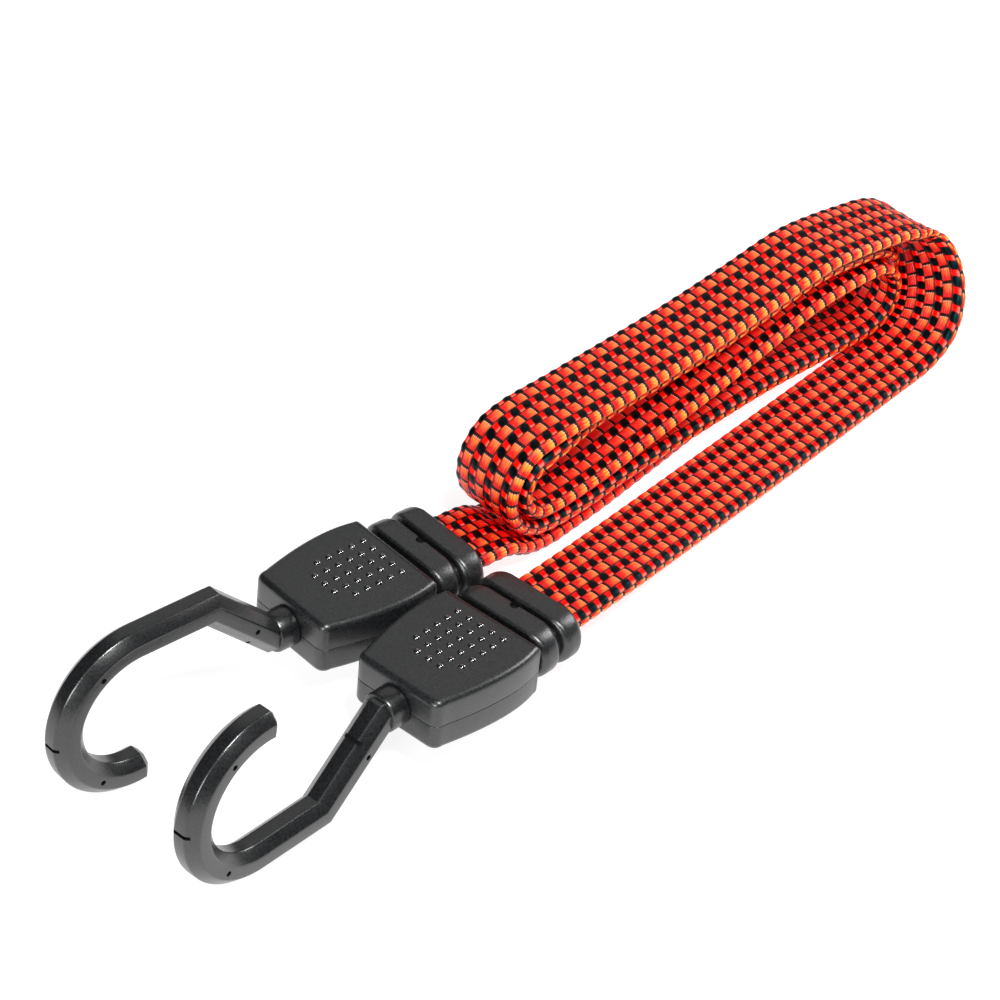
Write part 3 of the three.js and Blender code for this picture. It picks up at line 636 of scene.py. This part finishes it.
def woven_polypropylene():
    """Ribs of glossy orange floats, with painted shade at the weft, rows of black floats and red bars
    between, and painted light, shade and a red glow.
    """
    material, tree = new_material("woven polypropylene strap")
    at = weave_places(tree)
    rib_woven = rib_colour(tree, at)
    row_woven, black = row_colour(tree, at)
    on_rib = add(
        tree, RANGE,
        {"Value": at.rib_side, "From Min": RIB_HALF + RIB_BLUR, "From Max": RIB_HALF - RIB_BLUR},
    )
    woven = add(
        tree, MIX,
        {"Factor": on_rib, COLOUR_A: (row_woven, MIXED), COLOUR_B: (rib_woven, MIXED)}, data_type="RGBA",
    )
    # Painted shade in the crevices beside the ribs and between the yarns
    beside = add(tree, MATH, {0: at.rib_side, 1: RIB_HALF}, operation="SUBTRACT")
    crevice_off = add(tree, MATH, {0: beside}, operation="ABSOLUTE")
    crevice_painted_shade = add(tree, RANGE, {"Value": crevice_off, "From Max": 0.08, "To Min": 0.06, "To Max": 1.0})
    yarn_gap_painted_shade = add(
        tree, RANGE,
        {"Value": at.yarn_side, "From Min": 0.2, "From Max": 0.5, "To Min": 1.0, "To Max": 0.6},
    )
    rib_tone = add(tree, MIX, {"Factor": on_rib, NUMBER_A: 1.0, NUMBER_B: yarn_gap_painted_shade})
    tone = add(tree, MATH, {0: crevice_painted_shade, 1: rib_tone}, operation="MULTIPLY")
    shaded = add(tree, "ShaderNodeVectorMath", {0: (woven, MIXED), 1: tone}, operation="MULTIPLY")
    # The black floats have a blue-green sheen
    off_rib = add(tree, MATH, {0: 1.0, 1: on_rib}, operation="SUBTRACT")
    dark = add(tree, MATH, {0: black, 1: off_rib}, operation="MULTIPLY")
    gloss = add(tree, RANGE, {"Value": on_rib, "To Min": 0.12, "To Max": 0.4})
    shine = add(tree, MATH, {0: dark, 1: BLACK_SHINE, 2: gloss}, operation="MULTIPLY_ADD")
    sheen = add(
        tree, MIX,
        {"Factor": dark, COLOUR_A: colour("#ffffff"), COLOUR_B: colour("#58c8d0")}, data_type="RGBA",
    )
    # A painted glow: the red of the shaded colour is given off as light, so the shade stays a vivid red
    parts = add(tree, "ShaderNodeSeparateColor", {0: shaded})
    painted_red_glow = add(tree, "ShaderNodeCombineColor", {0: parts})
    # Sharpens the edges of the floats, and shows their filaments
    float_end = add(
        tree, RANGE, {"Value": at.rib_reach, "From Min": 0.5, "From Max": 0.38},
        interpolation_type="SMOOTHSTEP",
    )
    ended = add(tree, MIX, {"Factor": on_rib, NUMBER_A: 0.7, NUMBER_B: float_end})
    relief = add(tree, MATH, {0: ended, 1: tone}, operation="MULTIPLY")
    height = add(tree, MATH, {0: at.filament, 1: FILAMENT_RELIEF, 2: relief}, operation="MULTIPLY_ADD")
    bump = add(tree, "ShaderNodeBump", {"Strength": 0.8, "Distance": WEAVE_BUMP * MM, "Height": height})
    surface = add(
        tree, "ShaderNodeBsdfPrincipled",
        {
            "Base Color": shaded, "Roughness": 0.42, "Specular IOR Level": shine,
            "Specular Tint": (sheen, MIXED), "Normal": bump,
            "Emission Color": painted_red_glow, "Emission Strength": 0.4,
        },
    )
    add(tree, "ShaderNodeOutputMaterial", {"Surface": surface})
    return material


def moulded_nylon(name, dark, light, roughness, grain_depth, ior):
    """Black nylon with the speckled satin grain of a spark-eroded mould, or polished where that is shallow.

    The grain is drawn coarser than the mould's, so that it shows.
    """
    material, tree = new_material(name)
    place = add(tree, "ShaderNodeTexCoord")
    scale = per_metre(SATIN_GRAIN, SATIN_GRAIN, SATIN_GRAIN)
    grain_place = add(tree, "ShaderNodeMapping", {"Vector": (place, "Object"), "Scale": scale})
    grain = add(tree, "ShaderNodeTexNoise", {"Vector": grain_place, "Scale": 1.0, "Detail": 3.0})
    speckle = add(tree, RANGE, {"Value": grain, "From Min": 0.35, "From Max": 0.68})
    tint = add(
        tree, MIX, {"Factor": speckle, COLOUR_A: colour(dark), COLOUR_B: colour(light)}, data_type="RGBA",
    )
    bump = add(tree, "ShaderNodeBump", {"Strength": 0.45, "Distance": grain_depth * MM, "Height": grain})
    roughest = roughness * SATIN_SPREAD
    tone = add(tree, RANGE, {"Value": grain, "To Min": roughness, "To Max": roughest})
    surface = add(
        tree, "ShaderNodeBsdfPrincipled",
        {
            "Base Color": (tint, MIXED), "Roughness": tone, "IOR": ior, "Specular IOR Level": 0.9,
            "Normal": bump,
        },
    )
    add(tree, "ShaderNodeOutputMaterial", {"Surface": surface})
    return material


def zinc_plated_steel():
    """Dull grey plating with a drawn grain, coarser than the real one so that it shows."""
    material, tree = new_material("zinc-plated steel")
    place = add(tree, "ShaderNodeTexCoord")
    scale = per_metre(*DRAWN_GRAIN)
    grain_place = add(tree, "ShaderNodeMapping", {"Vector": (place, "Object"), "Scale": scale})
    grain = add(tree, "ShaderNodeTexNoise", {"Vector": grain_place, "Scale": 1.0})
    tone = add(tree, RANGE, {"Value": grain, "To Min": 0.25, "To Max": 0.45})
    surface = add(
        tree, "ShaderNodeBsdfPrincipled",
        {"Base Color": colour("#b4b8ba"), "Metallic": 1.0, "Roughness": tone},
    )
    add(tree, "ShaderNodeOutputMaterial", {"Surface": surface})
    return material


def natural_latex():
    """Matt tan rubber, slightly cloudy."""
    material, tree = new_material("natural latex")
    place = add(tree, "ShaderNodeTexCoord")
    scale = per_metre(LATEX_CLOUD, LATEX_CLOUD, LATEX_CLOUD)
    cloud_place = add(tree, "ShaderNodeMapping", {"Vector": (place, "Object"), "Scale": scale})
    cloud = add(tree, "ShaderNodeTexNoise", {"Vector": cloud_place, "Scale": 1.0})
    tone = add(
        tree, MIX,
        {"Factor": cloud, COLOUR_A: colour("#c9b285"), COLOUR_B: colour("#b89c6a")}, data_type="RGBA",
    )
    surface = add(tree, "ShaderNodeBsdfPrincipled", {"Base Color": (tone, MIXED), "Roughness": 0.7})
    add(tree, "ShaderNodeOutputMaterial", {"Surface": surface})
    return material


def backlit_acrylic():
    """White acrylic lit from below: an even white, with faint shade where something lies on it."""
    material, tree = new_material("backlit white acrylic")
    surface = add(
        tree, "ShaderNodeBsdfPrincipled",
        {
            "Base Color": colour("#a0a0a0"), "Roughness": 0.9, "Specular IOR Level": 0.0,
            "Emission Color": colour("#ffffff"), "Emission Strength": TABLE_GLOW,
        },
    )
    add(tree, "ShaderNodeOutputMaterial", {"Surface": surface})
    return material


# Moulded pieces

def keep_modified(obj, modifier):
    """Gives an object the mesh that a modifier makes, and drops the modifier."""
    bpy.context.view_layer.update()
    evaluated = obj.evaluated_get(bpy.context.evaluated_depsgraph_get())
    shaped = bpy.data.meshes.new_from_object(evaluated)
    obj.modifiers.remove(modifier)
    obj.data = shaped


def combine(obj, tool, operation):
    """Adds a tool to an object, or cuts it out of it. The tool is used up."""
    modifier = obj.modifiers.new("shape", "BOOLEAN")
    modifier.object = tool
    modifier.operation = operation
    modifier.solver = "EXACT"
    keep_modified(obj, modifier)
    bpy.data.objects.remove(tool)


def prism(name, outline, low, high, rims):
    """An upright block on an outline. rims gives the rounding of its low and high edges."""
    bm = bmesh.new()
    corners = [bm.verts.new((x, y, low)) for x, y in outline]
    base = bm.faces.new(corners)
    lifted = bmesh.ops.extrude_face_region(bm, geom=[base])["geom"]
    raised = [part for part in lifted if isinstance(part, bmesh.types.BMVert)]
    bmesh.ops.translate(bm, verts=raised, vec=(0, 0, high - low))
    bmesh.ops.recalc_face_normals(bm, faces=bm.faces)
    for level, rounding in zip((low, high), rims):
        rim = [edge for edge in bm.edges if all(abs(v.co.z - level) < LEVEL_TOLERANCE for v in edge.verts)]
        bmesh.ops.bevel(
            bm, geom=rim, offset=rounding, offset_type="OFFSET", segments=EDGE_STEPS, profile=0.5,
            affect="EDGES",
        )
    mesh = bpy.data.meshes.new(name)
    bm.to_mesh(mesh)
    bm.free()
    return add_object(name, mesh)


def lofted(name, rings):
    """A closed solid through rings of equal count."""
    count = len(rings[0])
    faces = []
    for ring in range(len(rings) - 1):
        for k in range(count):
            following = (k + 1) % count
            low, high = ring * count, (ring + 1) * count
            faces.append((low + k, low + following, high + following, high + k))
    faces.append(tuple(range(count - 1, -1, -1)))
    faces.append(tuple(range((len(rings) - 1) * count, len(rings) * count)))
    obj = mesh_object(name, [tuple(point) for ring in rings for point in ring], faces)
    bm = bmesh.new()
    bm.from_mesh(obj.data)
    bmesh.ops.recalc_face_normals(bm, faces=bm.faces)
    bm.to_mesh(obj.data)
    bm.free()
    return obj


def turned(name, profile):
    """A solid turned about the fitting's x, from (x, radius) pairs."""
    turns = [2 * math.pi * k / ROUND_STEPS for k in range(ROUND_STEPS)]
    return lofted(name, [[(x, r * math.cos(t), r * math.sin(t)) for t in turns] for x, r in profile])


def box(name, start, end, width, height):
    """A block along the fitting's x, centred on it."""
    y, z = width / 2, height / 2
    corners = [(-y, -z), (y, -z), (y, z), (-y, z)]
    return lofted(name, [[(x, *corner) for corner in corners] for x in (start, end)])


def circle(centre, radius, axis):
    """Ring of points about the fitting's y or z."""
    x, y, z = centre
    turns = [2 * math.pi * k / HOLE_STEPS for k in range(HOLE_STEPS)]
    if axis == "Z":
        return [(x + radius * math.cos(t), y + radius * math.sin(t), z) for t in turns]
    return [(x + radius * math.cos(t), y, z + radius * math.sin(t)) for t in turns]


def curve_between(start, bend, end, steps):
    """Points of a quadratic curve, without its last one."""
    shares = [k / steps for k in range(steps)]
    a, b, c = (np.array(point) for point in (start, bend, end))
    return [tuple((1 - t) ** 2 * a + 2 * t * (1 - t) * b + t * t * c) for t in shares]


def place_piece(obj, end, body, material, slot, *replaced):
    """Puts a piece modelled on its fitting in the frame and ties it to its body."""
    obj.data.transform(fittings[end])
    obj.data.shade_smooth()
    obj.data.set_sharp_from_angle(angle=SMOOTH_ANGLE)
    obj.data.materials.clear()
    obj.data.materials.append(material)
    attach(obj, f"{end}_{body}")
    if replaced:
        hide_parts(*(f"{end}_{node}" for node in replaced))


def housing_outline():
    """Barrel-shaped plan of the housing."""
    front, back = FRONT_WIDTH / 2, BACK_WIDTH / 2
    end = HOUSING_LENGTH - BACK_CORNER
    belly_x = 2 * BELLY_AT - HOUSING_LENGTH / 2
    belly_y = BELLY_WIDTH - (front + back) / 2
    side_start = (HOUSING_CORNER, -front)
    side_end = (end, -back)
    back_end = (HOUSING_LENGTH, BACK_CORNER - back)
    near = curve_between((0, HOUSING_CORNER - front), (0, -front), side_start, CORNER_STEPS)
    near += curve_between(side_start, (belly_x, -belly_y), side_end, BELLY_STEPS)
    near += curve_between(side_end, (HOUSING_LENGTH, -back), back_end, CORNER_STEPS)
    near.append(back_end)
    return near + [(x, -y) for x, y in reversed(near)]


def housing_hollows():
    """Cutting solids for the swivel's bore and chamber, the crimp, the strap and the collar."""
    bore_ends = (-CUT_MARGIN, CHAMBER[0] + CUT_MARGIN)
    bore = turned("bore", [(x, BORE_DIAMETER / 2) for x in bore_ends])
    chamber = turned("chamber", [(x, CHAMBER_DIAMETER / 2) for x in CHAMBER])
    boxes = [CRIMP_POCKET, STRAP_PASSAGE, FLANGE_GROOVE, COLLAR_OPENING]
    return [bore, chamber] + [box("hollow", *sizes) for sizes in boxes]


def housing_shells(end, material):
    """The housing's halves, parted at the swivel's axis."""
    outline = housing_outline()
    half = HOUSING_HEIGHT / 2
    halves = {
        "upper_shell": (PARTING_HALF, half, (PARTING_EDGE, HOUSING_EDGE)),
        "lower_shell": (-half, -PARTING_HALF, (HOUSING_EDGE, PARTING_EDGE)),
    }
    for name, (low, high, rims) in halves.items():
        shell = prism(f"{end}_housing_{name}", outline, low, high, rims)
        for hollow in housing_hollows():
            combine(shell, hollow, "DIFFERENCE")
        place_piece(shell, end, "end", material, "housing_plastic", name)


def grip_dot_tree(material):
    """Geometry nodes: domes on a square grid with a short row ahead of it."""
    tree = bpy.data.node_groups.new("grip dots", "GeometryNodeTree")
    tree.interface.new_socket("Geometry", in_out="OUTPUT", socket_type="NodeSocketGeometry")
    for name, size in GRIP_DOTS.items():
        kind = "NodeSocketInt" if isinstance(size, int) else "NodeSocketFloat"
        tree.interface.new_socket(name, in_out="INPUT", socket_type=kind)
    sockets = add(tree, "NodeGroupInput")
    last = add(tree, MATH, {0: (sockets, "Count"), 1: 1.0}, operation="SUBTRACT")
    side = add(tree, MATH, {0: last, 1: (sockets, "Pitch")}, operation="MULTIPLY")
    grid = add(
        tree, "GeometryNodeMeshGrid",
        {"Size X": side, "Size Y": side, "Vertices X": (sockets, "Count"), "Vertices Y": (sockets, "Count")},
    )
    lead_last = add(tree, MATH, {0: (sockets, "Lead Count"), 1: 1.0}, operation="SUBTRACT")
    lead_side = add(tree, MATH, {0: lead_last, 1: (sockets, "Pitch")}, operation="MULTIPLY")
    lead_half = add(tree, MATH, {0: lead_side, 1: -0.5}, operation="MULTIPLY")
    half = add(tree, MATH, {0: side, 1: -0.5}, operation="MULTIPLY")
    ahead = add(tree, MATH, {0: half, 1: (sockets, "Pitch")}, operation="SUBTRACT")
    lead_start = add(tree, "ShaderNodeCombineXYZ", {0: ahead, 1: lead_half})
    lead_step = add(tree, "ShaderNodeCombineXYZ", {1: (sockets, "Pitch")})
    lead = add(
        tree, "GeometryNodeMeshLine",
        {"Count": (sockets, "Lead Count"), "Start Location": lead_start, "Offset": lead_step},
    )
    places = add(tree, "GeometryNodeJoinGeometry")
    tree.links.new(grid.outputs["Mesh"], places.inputs[0])
    tree.links.new(lead.outputs["Mesh"], places.inputs[0])
    radius = add(tree, MATH, {0: (sockets, "Diameter"), 1: 0.5}, operation="MULTIPLY")
    ball = add(
        tree, "GeometryNodeMeshUVSphere", {"Segments": DOT_SEGMENTS, "Rings": DOT_RINGS, "Radius": radius},
    )
    flattening = add(tree, MATH, {0: (sockets, "Height"), 1: radius}, operation="DIVIDE")
    squeeze = add(tree, "ShaderNodeCombineXYZ", {0: 1.0, 1: 1.0, 2: flattening})
    dome = add(tree, "GeometryNodeTransform", {"Geometry": ball, "Scale": squeeze})
    dots = add(tree, "GeometryNodeInstanceOnPoints", {"Points": places, "Instance": dome})
    real = add(tree, "GeometryNodeRealizeInstances", {"Geometry": dots})
    painted = add(tree, "GeometryNodeSetMaterial", {"Geometry": real, "Material": material})
    add(tree, "NodeGroupOutput", {0: painted})
    return tree


def grip_dots(end, tree, material):
    """The dots on a housing's top, half sunk in it."""
    obj = mesh_object(f"{end}_grip_dots", [], [])
    modifier = obj.modifiers.new("grip dots", "NODES")
    modifier.node_group = tree
    for socket in tree.interface.items_tree:
        if socket.in_out == "INPUT":
            modifier[socket.identifier] = GRIP_DOTS[socket.name]
    keep_modified(obj, modifier)
    obj.data.transform(Matrix.Translation((DOT_CENTRE_AT, 0, HOUSING_HEIGHT / 2)))
    place_piece(obj, end, "end", material, "housing_plastic")


def bead_edge(endness, direction, angle):
    """Inset and drop on a bead's rounded edge, crisp along its flat top and rounder at its narrow ends."""
    size = BEAD_TOP_ROUND + (BEAD_END_ROUND - BEAD_TOP_ROUND) * endness
    return direction * size * (1 - math.cos(angle)), size * (1 - math.sin(angle))


def oval(x, rise=0.0, width=WAIST_WIDTH, height=WAIST_HEIGHT, edge=None):
    """A ring round the strap with half-round sides. edge is the direction and angle of a bead's edge."""
    ring = []
    for side in (1, -1):
        for k in range(OVAL_STEPS + 1):
            turn = math.pi * (k / OVAL_STEPS - 0.5)
            inset, drop = bead_edge(math.cos(turn), *edge) if edge else (0.0, 0.0)
            radius = height / 2 + rise - drop
            y = width / 2 - height / 2 + radius * math.cos(turn)
            ring.append((x + inset, side * y, side * radius * math.sin(turn)))
    return ring


def bead_rings(start):
    """Rings of one bead, from its first edge to its last."""
    angles = [math.pi / 2 * k / BEAD_STEPS for k in range(BEAD_STEPS + 1)]
    first = [oval(start, BEAD_RISE, edge=(1, angle)) for angle in angles]
    last = [oval(start + BEAD_LENGTH, BEAD_RISE, edge=(-1, angle)) for angle in reversed(angles)]
    return first + last


def neck_collar(end, material):
    """The collar on the strap's mouth, with the mark of a core pin beside its groove."""
    flange_start, flange_end, *flange = FLANGE
    groove_start = BEADS[0] + BEAD_LENGTH
    rings = [oval(x, 0.0, *flange) for x in (flange_start, flange_end)]
    for waist, bead in zip((flange_end, groove_start), BEADS):
        rings += [oval(waist), oval(bead), *bead_rings(bead)]
    collar = lofted(f"{end}_collar", rings)
    combine(collar, box("slot", *SLOT), "DIFFERENCE")
    hole_at = groove_start - COLLAR_HOLE_DIAMETER / 3
    top = WAIST_HEIGHT / 2 + BEAD_RISE
    levels = (top - COLLAR_HOLE_DEPTH, top + CUT_MARGIN)
    hole = lofted("hole", [circle((hole_at, 0, z), COLLAR_HOLE_DIAMETER / 2, "Z") for z in levels])
    combine(collar, hole, "DIFFERENCE")
    place_piece(collar, end, "end", material, "collar_plastic", "neck_collar")


# Hook

arm_start = np.array([STUB_LENGTH, 0.0])
arm = np.array([FIRST_ARM_OUT, FIRST_ARM_RISE])
bowl_centre = np.array([STUB_LENGTH + FIRST_ARM_OUT + SECOND_ARM, FIRST_ARM_RISE - BOWL_RADIUS])


def on_bowl(turn):
    """Place on the bowl's middle line, by degrees from its start, and the direction outward there."""
    outward = np.array([math.sin(math.radians(turn)), math.cos(math.radians(turn))])
    return bowl_centre + outward * BOWL_RADIUS, outward


def hook_line():
    """Middle line of the hook as (out, rise)."""
    turns = [(180 + TIP_TURN) * step / BOWL_STEPS for step in range(BOWL_STEPS + 1)]
    line = [arm_start / 2, arm_start, arm_start + arm] + [on_bowl(turn)[0] for turn in turns]
    return line + [line[-1] + unit(line[-1] - line[-2]) * TIP_CHAMFER]


def rod_section():
    """Eight-sided section with eased edges, as (side, rise) pairs."""
    corner = ROD_FLATS / 2 / math.cos(math.pi / 8)
    ease = ROD_EDGE * math.tan(math.pi / 8)
    section = []
    for k in range(8):
        here = (2 * k + 1) * math.pi / 8
        back = here - math.pi / 8 - math.pi / 2
        ahead = here + math.pi / 8 + math.pi / 2
        tip = np.array([math.cos(here), math.sin(here)]) * corner
        first = tip + np.array([math.cos(back), math.sin(back)]) * ease
        last = tip + np.array([math.cos(ahead), math.sin(ahead)]) * ease
        section += curve_between(first, tip, last, ROD_EDGE_STEPS) + [tuple(last)]
    return section


def hook_rod(name):
    """The rod along the hook's middle line, mitred at its corners and chamfered at its tip."""
    line = hook_line()
    section = rod_section()
    rings = []
    for k, point in enumerate(line):
        at_tip = k + 1 == len(line)
        back = unit(point - line[k - 1] if k else line[1] - point)
        ahead = back if at_tip else unit(line[k + 1] - point)
        normal = unit(np.array([-back[1] - ahead[1], back[0] + ahead[0]]))
        stretch = 1 / (normal[1] * back[0] - normal[0] * back[1])
        size = 1 - 2 * TIP_CHAMFER / ROD_FLATS if at_tip else 1.0
        ring = []
        for side, rise in section:
            out, up = point + normal * (rise * size * stretch)
            ring.append((-out, side * size, up))
        rings.append(ring)
    return lofted(name, rings)


def hook_marks():
    """Cutting solids for the pin holes in the hook's flat sides and the slits across it."""
    half = ROD_FLATS / 2
    marks = []
    for out, rise in [arm_start + arm * PIN_ON_ARM] + [on_bowl(turn)[0] for turn in PINS_ON_BOWL]:
        for side in (-1, 1):
            depths = (half - PIN_DEPTH, half + CUT_MARGIN)
            rings = [circle((-out, side * depth, rise), PIN_DIAMETER / 2, "Y") for depth in depths]
            marks.append(lofted("pin_hole", rings))
    under_arm = unit(np.array([arm[1], -arm[0]]))
    for place, outward in ((arm_start + arm * SLIT_ON_ARM, under_arm), on_bowl(SLIT_ON_BOWL)):
        ahead = np.array([outward[1], -outward[0]]) * (SLIT_WIDTH / 2)
        low = place + outward * (half - SLIT_DEPTH)
        high = place + outward * (half + CUT_MARGIN)
        corners = [low - ahead, low + ahead, high + ahead, high - ahead]
        rings = [[(-out, side, rise) for out, rise in corners] for side in (-SLIT_REACH, SLIT_REACH)]
        marks.append(lofted("slit", rings))
    return marks


def hook_jacket(end, material):
    """The hook's plastic: its rod, its round stub and the neck that turns in the housing."""
    hook = hook_rod(f"{end}_hook")
    stub_radius = STUB_DIAMETER / 2
    edge_in, edge_down = (STUB_EDGE * share for share in STUB_EDGE_MIDDLE)
    stub = turned("stub", [
        (-STUB_LENGTH, stub_radius - STUB_EDGE),
        (edge_in - STUB_LENGTH, stub_radius - edge_down),
        (STUB_EDGE - STUB_LENGTH, stub_radius),
        (-FACE_GAP, stub_radius),
        (-FACE_GAP, NECK_DIAMETER / 2),
        (NECK_END, NECK_DIAMETER / 2),
    ])
    combine(hook, stub, "UNION")
    for mark in hook_marks():
        combine(hook, mark, "DIFFERENCE")
    hook.data.transform(Matrix.Rotation(math.radians(SWIVEL[end]), 4, "X"))
    place_piece(hook, end, "hook", material, "hook_plastic", "hook_jacket")


def dress(name, material):
    """Gives a solid that is kept as it is, at both ends, its material."""
    for end in ENDS:
        node = nodes[f"{end}_{name}"]
        node.data.materials.clear()
        node.data.materials.append(material)


# Stage

def photo_camera():
    """Camera at the photograph's viewing angle."""
    yaw = math.radians(CAMERA_YAW)
    elevation = math.radians(CAMERA_ELEVATION)
    level = Vector((math.sin(yaw), math.cos(yaw), 0)) * math.cos(elevation)
    ahead = level - Vector((0, 0, math.sin(elevation)))
    camera = add_object("photo_camera", bpy.data.cameras.new("photo_camera"))
    camera.data.sensor_width = SENSOR_WIDTH
    camera.data.lens = CAMERA_FOCAL
    camera.data.clip_start = CAMERA_NEAREST * MM
    camera.location = (Vector(CAMERA_TARGET) - ahead * CAMERA_DISTANCE) * MM
    camera.rotation_euler = ahead.to_track_quat("-Z", "Y").to_euler()
    bpy.context.scene.camera = camera


def soft_box(name, place, side, power):
    """A square lamp that faces the camera's target, placed from there."""
    light = bpy.data.lights.new(name, "AREA")
    light.size = side * MM
    light.energy = power
    lamp = add_object(name, light)
    target = Vector(CAMERA_TARGET) * MM
    lamp.location = target + Vector(place) * MM
    lamp.rotation_euler = (target - lamp.location).to_track_quat("-Z", "Y").to_euler()


def white_surroundings():
    """A dim white sky for the object, and a bright white backdrop for the camera."""
    world = bpy.data.worlds.new("studio")
    world.use_nodes = True
    air = world.node_tree
    air.nodes.clear()
    sky = add(air, "ShaderNodeBackground", {"Color": colour("#ffffff"), "Strength": SKY_STRENGTH})
    backdrop = add(air, "ShaderNodeBackground", {"Color": colour("#ffffff"), "Strength": BACKDROP_STRENGTH})
    ray = add(air, "ShaderNodeLightPath")
    seen = add(air, "ShaderNodeMixShader", {0: (ray, "Is Camera Ray"), 1: sky, 2: backdrop})
    add(air, "ShaderNodeOutputWorld", {"Surface": seen})
    return world


def studio():
    """Glowing white table and backdrop, a white card beyond, and lamps on the right, front and left."""
    reach = TABLE_HALF * MM
    corners = [(-reach, -reach, 0), (reach, -reach, 0), (reach, reach, 0), (-reach, reach, 0)]
    floor = mesh_object("table", corners, [(0, 1, 2, 3)])
    floor.data.materials.append(backlit_acrylic())
    bpy.context.scene.world = white_surroundings()
    bpy.context.scene.view_settings.view_transform = "Standard"
    for name, (place, side, power) in LAMPS.items():
        soft_box(name, place, side, power)


photo_camera()
strap(woven_polypropylene())
housing_nylon = moulded_nylon(
    "moulded black nylon", "#090a0b", "#242527", roughness=0.28, grain_depth=0.07, ior=1.5,
)
dot_nylon = moulded_nylon(
    "polished black nylon", "#060607", "#0a0a0b", roughness=0.09, grain_depth=0.001, ior=2.2,
)
hook_nylon = moulded_nylon(
    "overmoulded black nylon", "#08090a", "#1c1d1f", roughness=0.24, grain_depth=0.06, ior=1.5,
)
steel = zinc_plated_steel()
latex = natural_latex()
dot_tree = grip_dot_tree(dot_nylon)
for fitting in ENDS:
    housing_shells(fitting, housing_nylon)
    grip_dots(fitting, dot_tree, dot_nylon)
    neck_collar(fitting, housing_nylon)
    hook_jacket(fitting, hook_nylon)
for steel_piece in ("strap_crimp", "swivel_washer", "hook_wire"):
    dress(steel_piece, steel)
dress("tail_rubber", latex)
studio()
